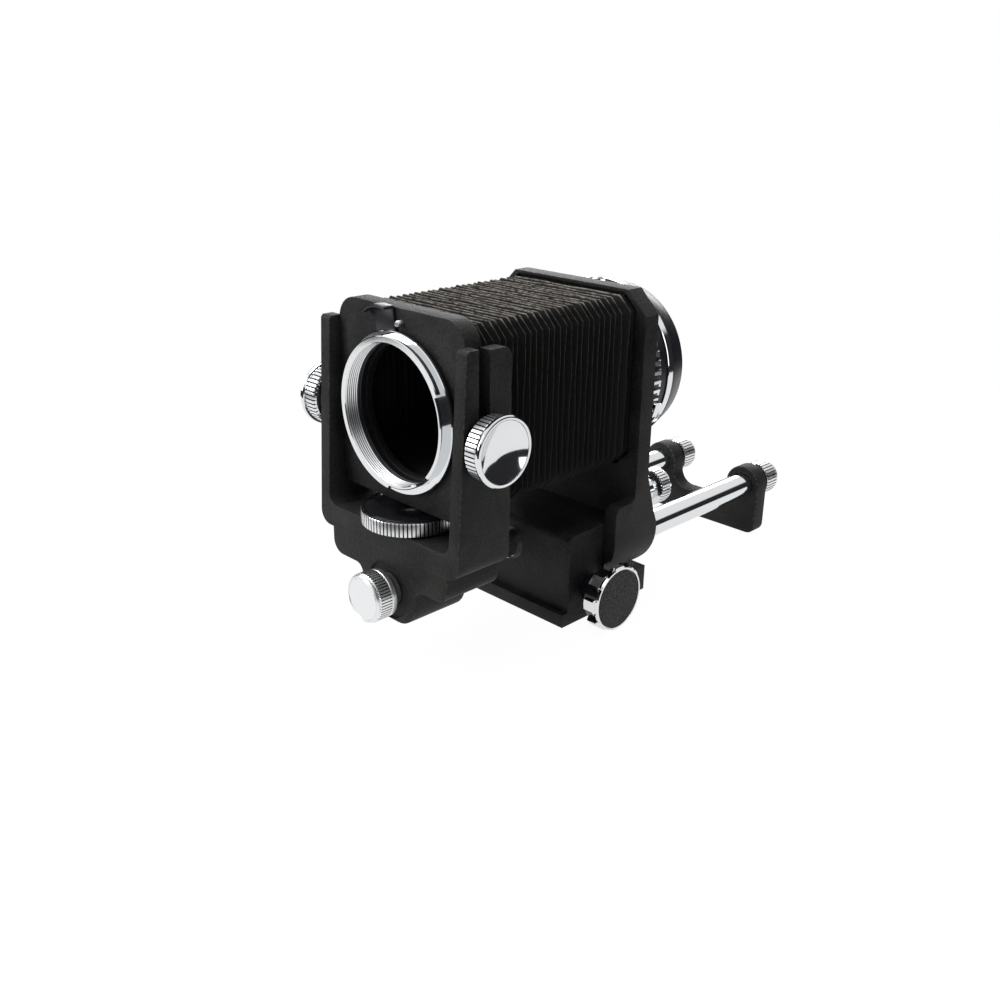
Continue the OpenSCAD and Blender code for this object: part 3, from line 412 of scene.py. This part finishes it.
# Steeper edges than CAST_EDGE are edges of the casting, and those under FLAT_EDGE lie in a plane
CAST_EDGE = math.radians(28)
FLAT_EDGE = math.radians(0.6)


def eased_casting(name, width, segments):
    """A copy of a CAD casting with its edges rounded and marked for wear."""
    source = frame["nodes"][name]
    bm = bmesh.new()
    bm.from_mesh(source.data)
    bmesh.ops.remove_doubles(bm, verts=bm.verts, dist=0.005 * MM)
    bmesh.ops.dissolve_limit(bm, angle_limit=FLAT_EDGE, verts=bm.verts, edges=bm.edges)
    edges = [e for e in bm.edges if len(e.link_faces) == 2 and e.calc_face_angle(0.0) > CAST_EDGE]
    rounded = ease_edges(bm, edges, width, segments, loop_slide=True)
    wear = bm.loops.layers.float.new("wear")
    for face in rounded:
        for loop in face.loops:
            loop[wear] = 1.0
    finish_piece(name + "_casting", bm, source["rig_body"], [PAINT], name, degrees=35)


for name, width in (("base_block", 1.2), ("rear_standard", 0.8), ("end_bracket", 0.8), ("front_foot", 1.0),
                    ("yoke", 1.3), ("lens_board", 1.0)):
    eased_casting(name, width, 3)
eased_casting("mount_tube", 0.25, 2)

# CAD nodes that show as they are, with their finishes
FINISHES = {
    "tripod_bush": BRONZE,
    # Painted shade: the front ram bush, in shade at the mouth of the block, is drawn in dark anodising
    "ram_bush_front": ANODISED,
    "ram_bush_rear": BRONZE,
    "pinion_bushes": ANODISED,
    "standard_screws": STEEL,
    "rear_bellows_frame": LINING,
    "front_bellows_frame": LINING,
    "rod_right": CHROME,
    "rod_left": CHROME,
    "mount_screws": ANODISED,
    "pinion_shaft": STEEL,
    "ram": CHROME,
    "swing_stud": STEEL,
    "board_trunnions": STEEL,
    "tilt_washers": PLASTIC,
    "end_washers": PLASTIC,
}
for name, material in FINISHES.items():
    frame["nodes"][name].data.materials.clear()
    frame["nodes"][name].data.materials.append(material)


# ----------------------------------------------------------------- bellows

# The cross-section over the folds: a rectangle with cut corners. DRAW_R is the half size that
# the folds' depth is measured against.
BELLOWS_H = 104.5
HALF_W = 37.0
HALF_H = 37.5
CUT = 6.0
DRAW_R = 37.2
CLOTH_THICK = 0.45

# The folds: how many, where they start and end, and how deep they are drawn in. The last two
# stand a little apart.
PLEATS = 25
FRONT_Y = BOARD_BACK + 1.7
BACK_Y = 10.3
LAST_PLEATS = (4.9, 6.1)
PLAIN_PLEATS = PLEATS - len(LAST_PLEATS)
PITCH = (BACK_Y - FRONT_Y - sum(LAST_PLEATS)) / PLAIN_PLEATS
DEPTH = 5.0

# The steps over a pleat: (share of its length, share of the depth, nearness to the crest, looseness)
FOLD_STEPS = ((0.30, 0.5, 0.3, 0.8), (0.46, 0.028, 0.95, 1.0), (0.54, 0.0, 1.0, 1.0), (0.72, 0.5, 0.3, 0.8))

# Hand-folded cloth: its folds stray along Y and sag by a share of the section, in waves given
# as (number, waves round the fold, shift from pleat to pleat)
STRAY = 0.48
SAG = 0.007
WAVES = ((1, 2.1, 1.7), (2, 5.3, -2.9), (3, 9.7, 4.1))

# Wear and painted highlight on the crests, from 0 to 1. It is strongest on the top, which starts
# at TOP_FROM up the section, as painted light from above; down the sides it is faint and fades a
# little towards the foot.
TOP_FROM = 36.0
TOP_WEAR_AND_SHEEN = 1.0
SIDE_WEAR_AND_SHEEN = 0.843
SIDE_WEAR_AND_SHEEN_FADE = 0.025


def valley_y(pleat):
    """Where a pleat starts along Y."""
    return FRONT_Y + min(pleat, PLAIN_PLEATS) * PITCH + sum(LAST_PLEATS[:max(0, pleat - PLAIN_PLEATS)])


def sway(bearing, pleat, seed):
    """A small smooth unevenness round a fold, from -1 to 1."""
    waves = [math.sin(bearing * around + pleat * shift + number * seed) for number, around, shift in WAVES]
    return sum(waves) / len(waves)


def ring_rows(first, last):
    """The rings of a stretch of pleats: (y, drawn-in depth, nearness to the crest, pleat, looseness).
    The stretch's own ends aren't loose, so that its neighbours meet them."""
    rows = [(valley_y(first), DEPTH, 0.0, first, 0.0)]
    for pleat in range(first, last):
        start, end = valley_y(pleat), valley_y(pleat + 1)
        lean = 0.06 * math.sin(pleat * 2.3)
        for share, deep, crest, loose in FOLD_STEPS:
            rows.append((start + (end - start) * (share + lean), DEPTH * deep, crest, pleat, loose))
        rows.append((end, DEPTH, 0.0, pleat + 1, 0.0 if pleat + 1 == last else 0.4))
    return rows


def section_ring(bm):
    """The bellows' cross-section as a ring of edges, with its long sides and cut corners divided."""
    w, h, c = HALF_W, HALF_H, CUT
    corners = [(w, -h + c), (w, h - c), (w - c, h), (-w + c, h),
               (-w, h - c), (-w, -h + c), (-w + c, -h), (w - c, -h)]
    loop = [bm.verts.new((x * MM, 0, z * MM)) for x, z in corners]
    edges = [bm.edges.new((loop[i], loop[(i + 1) % 8])) for i in range(8)]
    bmesh.ops.subdivide_edges(bm, edges=edges[0::2], cuts=9)
    bmesh.ops.subdivide_edges(bm, edges=edges[1::2], cuts=1)


def next_ring(bm, ring, section):
    """Extrudes a ring of edges. Returns the new ring, and each new point's place in the section."""
    made = bmesh.ops.extrude_edge_only(bm, edges=ring)["geom"]
    moved = {}
    for v in made:
        if isinstance(v, bmesh.types.BMVert):
            twin = next(e.other_vert(v) for e in v.link_edges if e.other_vert(v) in section)
            moved[v] = section[twin]
    edges = [e for e in made if isinstance(e, bmesh.types.BMEdge) and all(v in moved for v in e.verts)]
    return edges, moved


def pleated_tube(name, first, last):
    """A stretch of the bellows, folded ring by ring."""
    bm = bmesh.new()
    fold = bm.verts.layers.float.new("fold")
    section_ring(bm)
    section = {v: v.co.copy() for v in bm.verts}
    ring = bm.edges[:]
    for number, (y, drawn, crest, pleat, loose) in enumerate(ring_rows(first, last)):
        if number:
            ring, section = next_ring(bm, ring, section)
        for v, rest in section.items():
            bearing = math.atan2(rest.z, rest.x)
            draw = 1 - drawn / DRAW_R - loose * SAG * (1 + sway(bearing, pleat, 0.4))
            along = y + loose * STRAY * sway(bearing, pleat, 1.3)
            v.co = Vector((rest.x * draw, along * MM, rest.z * draw + BELLOWS_H * MM))
            # Wear and painted highlight on the crests: full on top, fainter down the sides
            side_wear_and_sheen = SIDE_WEAR_AND_SHEEN + SIDE_WEAR_AND_SHEEN_FADE * rest.z / (HALF_H * MM)
            v[fold] = crest * (TOP_WEAR_AND_SHEEN if rest.z > TOP_FROM * MM else side_wear_and_sheen)
    bmesh.ops.recalc_face_normals(bm, faces=bm.faces)
    middle = sum((f.calc_center_median() for f in bm.faces), Vector()) / len(bm.faces)
    face = max(bm.faces, key=lambda f: f.calc_center_median().x)
    if face.normal.dot(face.calc_center_median() - middle) < 0:
        bmesh.ops.reverse_faces(bm, faces=bm.faces)
    bmesh.ops.solidify(bm, geom=bm.faces[:], thickness=CLOTH_THICK * MM)
    piece = finish_piece(name, bm, None, [CLOTH], "bellows", degrees=24)
    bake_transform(piece)


# The bellows is made in three stretches, which meet at the seams after the fifth and the tenth
# pleat
TILT_SEAM, SWING_SEAM = 5, 10
pleated_tube("bellows_front_pleats", 0, TILT_SEAM)
pleated_tube("bellows_middle_pleats", TILT_SEAM, SWING_SEAM)
pleated_tube("bellows_rear_pleats", SWING_SEAM, PLEATS)


# --------------------------------------------------- lens ring and its lever

def lens_ring():
    """The lens ring, with its front down: a collar cut back over its lower right third, a thin
    flange, and a fine thread in the bore."""
    collar = [(RING_BORE_R, 0.3), (RING_BORE_R + 0.3, 0.0), (RING_COLLAR_R - 0.4, 0.0),
              (RING_COLLAR_R, 0.35), (RING_COLLAR_R, 3.1)]
    flange = [(RING_FLANGE_R - 0.3, 3.1), (RING_FLANGE_R, 3.4), (RING_FLANGE_R, 4.2), (RING_NECK_R, 4.2)]
    neck = [(RING_NECK_R, 10.6), (RING_BORE_R, 10.6)]
    thread = []
    for turn in range(8, 0, -1):
        thread += [(RING_BORE_R, turn + 0.45), (RING_BORE_R, turn + 0.15), (RING_BORE_R + 0.45, turn - 0.3)]
    bm = turned(collar + flange + neck + thread, 240, closed=True)
    cut_depth, notch_depth = 1.3, 1.4
    for v in bm.verts:
        bearing = math.degrees(math.atan2(v.co.y, v.co.x))
        r = math.hypot(v.co.x, v.co.y) / MM
        if -26 < bearing < 94 and RING_COLLAR_R - 0.9 < r < RING_COLLAR_R + 0.3 and v.co.z / MM < 3.15:
            shrink(bm, v, r - cut_depth)
        if 44 < bearing < 57 and v.co.z / MM < 0.4:
            v.co.z += notch_depth * MM
    # Painted shade: the bore and the notch are drawn in dark anodising, and each turn of the thread has a
    # satin crest that catches the light
    dark, lit = 1, 2
    paint_faces(bm, dark, lambda c: math.hypot(c.x, c.y) < 29 and c.z > 0.6)
    paint_faces(bm, lit, lambda c: math.hypot(c.x, c.y) < 29 and 0.6 < c.z < 6.4
                and abs((c.z + 0.5) % 1 - 0.425) < 0.1)
    paint_faces(bm, dark, lambda c: 43 < math.degrees(math.atan2(c.y, c.x)) < 58 and c.z < 1.9)
    return put(bm, "+Y", 0, RING_FRONT, AXIS_H)


finish_piece("lens_thread_ring", lens_ring(), "tilt_board", [CHROME, ANODISED, SATIN], "lens_ring",
             degrees=28)

pin = turned([(0, 0), (1.3, 0), (1.3, 5.3), (1.0, 5.8), (0, 6.0)], 40)
put(pin, "-Y", 1.97, BOARD_FRONT + 3, AXIS_H + 36)
finish_piece("lever_stop_pin", pin, "tilt_board", [STEEL], "stop_pin")


def lock_lever():
    """A flat ring round the lens ring's neck, with a blade and an arched finger lip at its top."""
    thick, lip_left, lip_right = 1.1, -10.2, 6.0
    arch, dip, taper = 1.5, 0.6, 1.6
    inner_r, outer_r = RING_NECK_R + 0.05, 32.5
    bm = turned([(inner_r, 0), (outer_r, 0), (outer_r, thick), (inner_r, thick)], 128, closed=True)
    blade = block((-5.75, 31, 0.0), (5.75, 41.6, thick))
    ease_edges(blade, blade.edges[:], 0.2, 2)
    join(bm, blade)
    lip = block((lip_left, 40.6, 0.2), (lip_right, 41.8, 5.2))
    bmesh.ops.subdivide_edges(lip, edges=[e for e in lip.edges if e.calc_length() > 12 * MM], cuts=13)
    for v in lip.verts:
        across = (v.co.x / MM - lip_left) / (lip_right - lip_left)
        droop = (1 - across) ** 2
        v.co.y += (arch * math.sin(math.pi * across) - dip * droop) * MM
        if v.co.z > 3 * MM:
            v.co.z -= taper * droop * MM
    ease_edges(lip, [e for e in lip.edges if e.calc_face_angle(0.0) > 0.9], 0.3, 2)
    join(bm, lip)
    # Made lying down, with its blade along +Y and its front along +Z: stands it up facing -Y
    bmesh.ops.transform(bm, matrix=Matrix.Rotation(math.radians(90), 4, "X"), verts=bm.verts)
    bmesh.ops.transform(bm, matrix=Matrix.Rotation(math.radians(-11), 4, "Y"), verts=bm.verts)
    bmesh.ops.translate(bm, vec=(0, (BOARD_FRONT - 0.15) * MM, AXIS_H * MM), verts=bm.verts)
    return bm


finish_piece("lens_lever", lock_lever(), "lens_lever", [ANODISED], "lens_lock_lever")


# ------------------------------------------------------------------- knobs

def tilt_knob(word, side):
    """Coarse straight knurl, a groove, a bright raised rim and a dished mirror cap."""
    teeth, bore_r, dish_r, dish_low, dish_rise = 45, 2.8, 12.05, 6.3, 3.1
    along = "+X" if side > 0 else "-X"
    bm = turned([(bore_r, 0), (10.6, 0), (11.6, 0.5), (12.3, 1.0), (12.8, 1.3), (12.8, 6.3), (12.3, 6.7),
                 (10.8, 6.9), (10.8, 7.3), (9.6, 7.1), (bore_r, 5.4)], teeth * TOOTH_STEPS, closed=True)
    # Painted shade: the knurl's grooves, and the knob's inner face towards the yoke, are drawn in dark
    # anodising
    cut_teeth(bm, teeth, depth=0.8, skin=12.2, low=0.9, high=6.8, wide=1, land=LAND, groove=PAINTED_SHADE)
    paint_faces(bm, PAINTED_SHADE, lambda c: c.z < 0.3)
    join(bm, turned([(9.5, 7.0), (12.6, 7.0), (13.5, 7.35), (13.8, 7.9), (13.8, 8.9), (13.4, 9.45),
                     (12.7, 9.6), (12.25, 9.5), (12.1, 9.0), (10.5, 8.0), (9.5, 7.4)], 128, closed=True))
    put(bm, along, side * TILT_KNOB_X, PIVOT_Y, TILT_H)
    finish_piece("tilt_knob_" + word + "_body", bm, "tilt_clamp_" + word, KNOB_FINISHES,
                 "tilt_knob_" + word)
    rings = 12
    dish = [(dish_r * n / rings, dish_low + dish_rise * (n / rings) ** 2) for n in range(rings + 1)]
    mirror = turned([(r, h - 0.45) for r, h in dish] + dish[::-1], 128)
    put(mirror, along, side * TILT_KNOB_X, PIVOT_Y, TILT_H)
    finish_piece("tilt_mirror_" + word, mirror, "tilt_clamp_" + word, [CHROME], "tilt_cap_" + word)


for word, side in SIDES:
    tilt_knob(word, side)


def plain_knob(teeth, r, length, foot, start, lip=2.0):
    """A knurled knob on Z: a foot, given by its profile, a knurled band that starts at a height,
    and a turned face inside a raised lip."""
    end = length - 1.3
    band = [(r - 0.5, start - 0.2), (r, start + 0.2), (r, end - 0.4), (r - 0.5, end)]
    face = [(r - 0.9, end + 0.2), (r - 0.35, end + 0.5), (r - 0.35, length - 0.35), (r - 0.75, length),
            (r - lip, length), (r - lip - 0.2, length - 0.35), (r - lip - 0.5, length - 0.35),
            (r - lip - 0.7, length - 0.05), (0, length - 0.05)]
    bm = turned(foot + band + face, teeth * TOOTH_STEPS)
    # Painted shade: the knurl's grooves are drawn in dark anodising
    cut_teeth(bm, teeth, depth=0.55, skin=r - 0.15, low=start, high=end - 0.1, wide=1, land=LAND,
              groove=PAINTED_SHADE)
    return bm


def front_clamp_knob():
    """A satin knob with a fine knurl, a smooth rounded neck and its stud."""
    neck_r, knurl_start = 10.3, 6.6
    foot = [(0, 0), (neck_r - 2.8, 0), (neck_r - 2.8, 2.4), (neck_r - 0.9, 3.0), (neck_r, 4.4),
            (neck_r, knurl_start - 0.5)]
    bm = put(plain_knob(52, 10.5, 14.0, foot, knurl_start, 1.1), "-Y", 0, RAM_FRONT_KNOB_Y, RAM_H)
    stud = turned([(0, 0), (2.95, 0), (2.95, 18.0), (2.6, 18.6), (0, 18.6)], 48)
    join(bm, put(stud, "+Y", 0, RAM_FRONT_KNOB_Y - 0.7, RAM_H))
    # All but the knurl is satin
    knurl_low, knurl_high = RAM_FRONT_KNOB_Y - 12.3, RAM_FRONT_KNOB_Y - 6.5
    paint_faces(bm, LAND, lambda c: c.y < knurl_low or c.y > knurl_high)
    return bm


finish_piece("front_clamp_knob", front_clamp_knob(), "front_clamp_knob", KNOB_FINISHES,
             "front_knob")

# The knob at the ram's other end is bored for the ram's stud, and knurled down to its foot
bored_foot = [(0, 6.0), (3.0, 6.0), (3.0, 0), (6.5, 0), (6.5, -0.5)]
stop_knob = put(plain_knob(36, 9.5, 7.9, bored_foot, 0), "+Y", 0, RAM_END_Y, RAM_H)
finish_piece("ram_stop_knob", stop_knob, "ram_stop_knob", KNOB_FINISHES, "ram_end_knob")

plain_foot = [(0, 0), (7.2, 0), (7.2, 0.6)]
for word, side in SIDES:
    nut = put(plain_knob(34, 9.0, 11.0, plain_foot, 1.1), "+Y", side * ROD_X, ROD_NUT_Y, ROD_H)
    finish_piece("rod_nut_" + word, nut, "rod_nut_" + word, KNOB_FINISHES, "end_knob_" + word)


def swing_wheel():
    """A satin wheel rim with square slots, whose insides are drawn dark as painted shade, and a dished black
    disc in its top.
    """
    teeth, bore_r, seat_r = 76, 3.1, 17.7
    rim = turned([(bore_r, 0), (18.9, 0), (19.9, 0.3), (20.2, 0.6), (20.2, 5.8), (20.0, 6.15), (19.7, 6.4),
                  (19.4, 6.4), (19.15, 6.15), (19.1, 5.6), (seat_r, 5.5), (seat_r, 2.2), (bore_r, 2.2)],
                 teeth * TOOTH_STEPS, closed=True)
    # Painted shade: the slots are drawn in dark plastic
    cut_teeth(rim, teeth, depth=0.9, skin=20.1, low=0.3, high=6.0, wide=1, land=0, groove=1)
    paint_faces(rim, 1, lambda c: c.z > 6.2)
    put(rim, "+Z", 0, PIVOT_Y, WHEEL_H)
    finish_piece("swing_wheel_rim", rim, "swing_wheel", [SATIN, PLASTIC], "wheel_rim")
    disc = turned([(0, 2.4), (seat_r - 0.1, 2.4), (seat_r - 0.1, 5.6), (19.0, 5.7), (19.0, 6.1), (18.6, 6.3),
                   (16.2, 6.3), (14.4, 5.95), (9.0, 5.6), (2.4, 5.4), (2.0, 5.25), (0, 5.2)], 128)
    put(disc, "+Z", 0, PIVOT_Y, WHEEL_H)
    finish_piece("swing_wheel_disc", disc, "swing_wheel", [PLASTIC], "wheel_disc")


swing_wheel()


def focus_knob():
    """Eight satin lobes with dark channels between them, a thin bright rim and a leatherette disc."""
    lobes, bore_r, channel_r, dip_r = 8, 3.5, 12.8, 14.35
    channel_low, channel_round, channel_share, dip_share = 4.2, 2.25, 0.275, 0.25
    skin = [(15.0, h) for h in (0.7, 2.4, 4.2, 4.9, 5.5, 5.95, 6.25, 6.5, 7.3)]
    bm = turned([(bore_r, 0), (14.0, 0), (14.8, 0.3)] + skin
                + [(14.4, 7.9), (13.9, 8.0), (13.55, 7.9), (13.45, 7.6), (13.45, 7.2), (bore_r, 7.2)],
                lobes * 20, closed=True)
    for v in bm.verts:
        r, h = math.hypot(v.co.x, v.co.y) / MM, v.co.z / MM
        off_middle = abs((math.atan2(v.co.y, v.co.x) / (2 * math.pi) * lobes) % 1.0 - 0.5)
        # The channel is straight at its foot and ends in a half round
        past = max(0.0, h - channel_low) / channel_round
        half = channel_share * math.sqrt(max(0.0, 1 - past * past))
        if r > 13.8 and h < 6.4 and off_middle < half:
            shrink(bm, v, channel_r)
        elif r > dip_r and h > 6.4 and off_middle < dip_share:
            shrink(bm, v, dip_r)
    collar = [(bore_r, -1.7), (12.1, -1.7), (12.5, -1.3), (12.5, 0.05), (bore_r, 0.05)]
    hub = [(bore_r, -9.0), (5.9, -9.0), (6.3, -8.6), (6.4, -1.6), (bore_r, -1.6)]
    join(bm, turned(collar, 96, closed=True))
    join(bm, turned(hub, 64, closed=True))
    paint_faces(bm, 1, lambda c: math.hypot(c.x, c.y) < 14.75 and c.z < 6.45)
    paint_faces(bm, 2, lambda c: c.z > 6.9)
    put(bm, "+X", FOCUS_KNOB_X, PINION_Y, PINION_H)
    finish_piece("focus_knob_lobes", bm, "focus_drive", [SATIN, PLASTIC, CHROME], "focus_knob",
                 degrees=28)
    disc = turned([(0, 6.9), (13.3, 6.9), (13.3, 7.5), (13.1, 7.75), (12.3, 7.9), (0, 8.0)], 96)
    put(disc, "+X", FOCUS_KNOB_X, PINION_Y, PINION_H)
    finish_piece("focus_knob_disc", disc, "focus_drive", [LEATHERETTE], "focus_knob_cap")


focus_knob()


# ------------------------------------------------------------ camera mount

def lock_ring():
    """The toothed locking ring, which turns on the mount tube."""
    teeth, bore_r = 60, MOUNT_TUBE_R + 0.05
    bm = turned([(bore_r, 0), (38.4, 0), (38.9, 0.4), (39.3, 1.2), (39.5, 1.6), (39.5, 6.9), (39.3, 7.4),
                 (38.6, 8.2), (38.0, 8.7), (bore_r, 8.7)], teeth * TOOTH_STEPS, closed=True)
    # Painted shade: the gaps between the teeth are drawn in dark anodising
    cut_teeth(bm, teeth, depth=1.0, skin=39.0, low=1.0, high=7.6, wide=3, land=LAND, groove=PAINTED_SHADE)
    return put(bm, "+Y", 0, LOCK_RING_Y, AXIS_H)


def seat_ring():
    """A chrome ring on a dark groove, where the camera seats."""
    groove_r, r = 37.5, 38.3
    bm = turned([(MOUNT_TUBE_R, 0), (groove_r, 0), (groove_r, 4.8), (r - 0.2, 4.9), (r, 5.2), (r, 8.1),
                 (r - 0.3, 8.4), (MOUNT_TUBE_R, 8.4)], 160, closed=True)
    paint_faces(bm, 1, lambda c: c.z < 4.85)
    return put(bm, "+Y", 0, SEAT_RING_Y, AXIS_H)


def rear_rim():
    """The black tapered rim at the very back of the mount."""
    bm = turned([(MOUNT_BORE_R, 0), (37.9, 0), (38.2, 0.3), (38.1, 1.1), (35.2, 10.6), (34.7, 11.4),
                 (34.0, 11.9), (33.4, 12.0), (32.8, 11.6), (31.6, 11.0), (MOUNT_BORE_R + 0.3, 11.0),
                 (MOUNT_BORE_R, 10.7)], 160, closed=True)
    return put(bm, "+Y", 0, REAR_RIM_Y, AXIS_H)


def camera_catch():
    """A small push catch on a stem, low on the right of the mount."""
    bm = block((40.0, 21.5, -3.25), (43.4, 26.0, 3.25))
    ease_edges(bm, bm.edges[:], 0.45, 2)
    join(bm, put(turned([(0, 0), (1.2, 0), (1.2, 6.5), (0, 6.5)], 32), "+Y", 41.7, 15.0, 0))
    turn = Matrix.Rotation(math.radians(CATCH_ANGLE), 4, "Y")
    bmesh.ops.transform(bm, matrix=Matrix.Translation((0, 0, AXIS_H * MM)) @ turn, verts=bm.verts)
    return bm


finish_piece("camera_lock_ring", lock_ring(), "camera_lock_ring", KNOB_FINISHES,
             "mount_lock_ring")
finish_piece("camera_seat_ring", seat_ring(), "carriage_base", [CHROME, ANODISED],
             "mount_seat_ring")
finish_piece("camera_rear_rim", rear_rim(), "carriage_base", [ANODISED], "mount_rear_rim")
finish_piece("camera_catch", camera_catch(), "camera_catch", [CHROME], "mount_catch")


# ------------------------------------------------------- stage and camera

FLOOR_HALF = 450
FLOOR_GAP = 0.2

# How much of the paper's glow the camera and mirrors see. The rest is paper in the lamps' light,
# with the object's shadow on it.
CAMERA_SHARE = 0.93
MIRROR_SHARE = 0.86


def studio_paper():
    """Pale paper that looks white to the camera, in mirrors and through glass."""
    material = bpy.data.materials.new("studio_paper")
    tree = bare_tree(material)
    paper = node(tree, "ShaderNodeBsdfPrincipled", roughness=0.9, base_color=colour("#f6f6f6"))
    glow = node(tree, "ShaderNodeEmission", color=colour("#ffffff"), strength=1.04)
    path = node(tree, "ShaderNodeLightPath").outputs
    seen = node(tree, "ShaderNodeMath", [(path["Is Camera Ray"], 0), (path["Is Transmission Ray"], 1)],
                operation="MAXIMUM")
    to_camera = node(tree, "ShaderNodeMath", [(seen, 0)], operation="MULTIPLY", _1=CAMERA_SHARE)
    to_mirrors = node(tree, "ShaderNodeMath", [(path["Is Glossy Ray"], 0)], operation="MULTIPLY",
                      _1=MIRROR_SHARE)
    share = node(tree, "ShaderNodeMath", [(to_camera, 0), (to_mirrors, 1)], operation="MAXIMUM")
    mixed = node(tree, "ShaderNodeMixShader", [(share, 0), (paper, 1), (glow, 2)])
    node(tree, "ShaderNodeOutputMaterial", [(mixed, "Surface")])
    return material


def studio_floor():
    """A square of paper just under the object."""
    bm = bmesh.new()
    bmesh.ops.create_grid(bm, x_segments=1, y_segments=1, size=FLOOR_HALF * MM)
    mesh = bpy.data.meshes.new("floor")
    bm.to_mesh(mesh)
    bm.free()
    mesh.materials.append(studio_paper())
    floor = bpy.data.objects.new("floor", mesh)
    floor.location.z = -FLOOR_GAP * MM
    bpy.context.scene.collection.objects.link(floor)


def studio_world():
    """White to the camera and plain light on the object. Mirrors see a dim room round the table,
    under a white ceiling."""
    world = bpy.data.worlds.new("studio")
    bpy.context.scene.world = world
    tree = bare_tree(world)
    path = node(tree, "ShaderNodeLightPath").outputs
    plain = node(tree, "ShaderNodeBackground", color=colour("#ffffff"), strength=0.22)
    white = node(tree, "ShaderNodeBackground", color=colour("#ffffff"), strength=1.0)
    room = node(tree, "ShaderNodeBackground", color=colour("#2c2c2e"), strength=1.0)
    direction = node(tree, "ShaderNodeTexCoord").outputs["Generated"]
    height = node(tree, "ShaderNodeSeparateXYZ", [(direction, 0)]).outputs["Z"]
    ceiling = node(tree, "ShaderNodeMapRange", [(height, "Value")], from_min=0.36, from_max=0.44)
    mirrored = node(tree, "ShaderNodeMixShader", [(ceiling, 0), (room, 1), (white, 2)])
    lit = node(tree, "ShaderNodeMixShader", [(path["Is Glossy Ray"], 0), (plain, 1), (mirrored, 2)])
    seen = node(tree, "ShaderNodeMath", [(path["Is Camera Ray"], 0), (path["Is Transmission Ray"], 1)],
                operation="MAXIMUM")
    mixed = node(tree, "ShaderNodeMixShader", [(seen, 0), (lit, 1), (white, 2)])
    node(tree, "ShaderNodeOutputWorld", [(mixed, "Surface")])


def soft_box(name, place, size, watts):
    """A rectangular lamp that faces the middle of the object. Its place and size are in metres."""
    light = bpy.data.lights.new(name, "AREA")
    light.shape = "RECTANGLE"
    light.size, light.size_y = size
    light.energy = watts
    lamp = bpy.data.objects.new(name, light)
    bpy.context.scene.collection.objects.link(lamp)
    aim = Vector((0.0, -0.02, 0.08))
    lamp.location = place
    lamp.rotation_euler = (aim - Vector(place)).to_track_quat("-Z", "Y").to_euler()


studio_floor()
studio_world()

soft_box("top_softbox", (-0.15, -0.1, 0.95), (0.7, 0.7), 7.0)
soft_box("left_softbox", (-0.55, -0.75, 0.45), (0.45, 0.6), 5.6)
soft_box("right_softbox", (0.85, -0.15, 0.35), (0.35, 0.6), 1.4)
soft_box("back_softbox", (-0.62, 0.85, 0.42), (0.9, 0.4), 6.0)

# The camera, fitted to the photograph
CAMERA_PLACE = (314.46, -343.90, 227.51)
YAW, PITCH_DOWN, ROLL = math.radians(45.2), math.radians(21.7), math.radians(-0.67)
FOCAL_PIXELS, FRAME_PIXELS = 1074, 1000
SENSOR = 36.0

ahead = Vector((-math.sin(YAW) * math.cos(PITCH_DOWN), math.cos(YAW) * math.cos(PITCH_DOWN),
                -math.sin(PITCH_DOWN)))
level = ahead.cross(Vector((0, 0, 1))).normalized()
below = ahead.cross(level)
image_x = math.cos(ROLL) * level + math.sin(ROLL) * below
image_y = -math.sin(ROLL) * level + math.cos(ROLL) * below
lens = bpy.data.cameras.new("camera")
lens.sensor_fit = "HORIZONTAL"
lens.sensor_width = SENSOR
lens.lens = FOCAL_PIXELS * SENSOR / FRAME_PIXELS
lens.clip_start, lens.clip_end = 0.02, 30.0
camera = bpy.data.objects.new("camera", lens)
bpy.context.scene.collection.objects.link(camera)
turn = Matrix((image_x, -image_y, -ahead)).transposed().to_4x4()
camera.matrix_world = Matrix.Translation(Vector(CAMERA_PLACE) * MM) @ turn
bpy.context.scene.camera = camera
bpy.context.scene.view_settings.view_transform = "Standard"
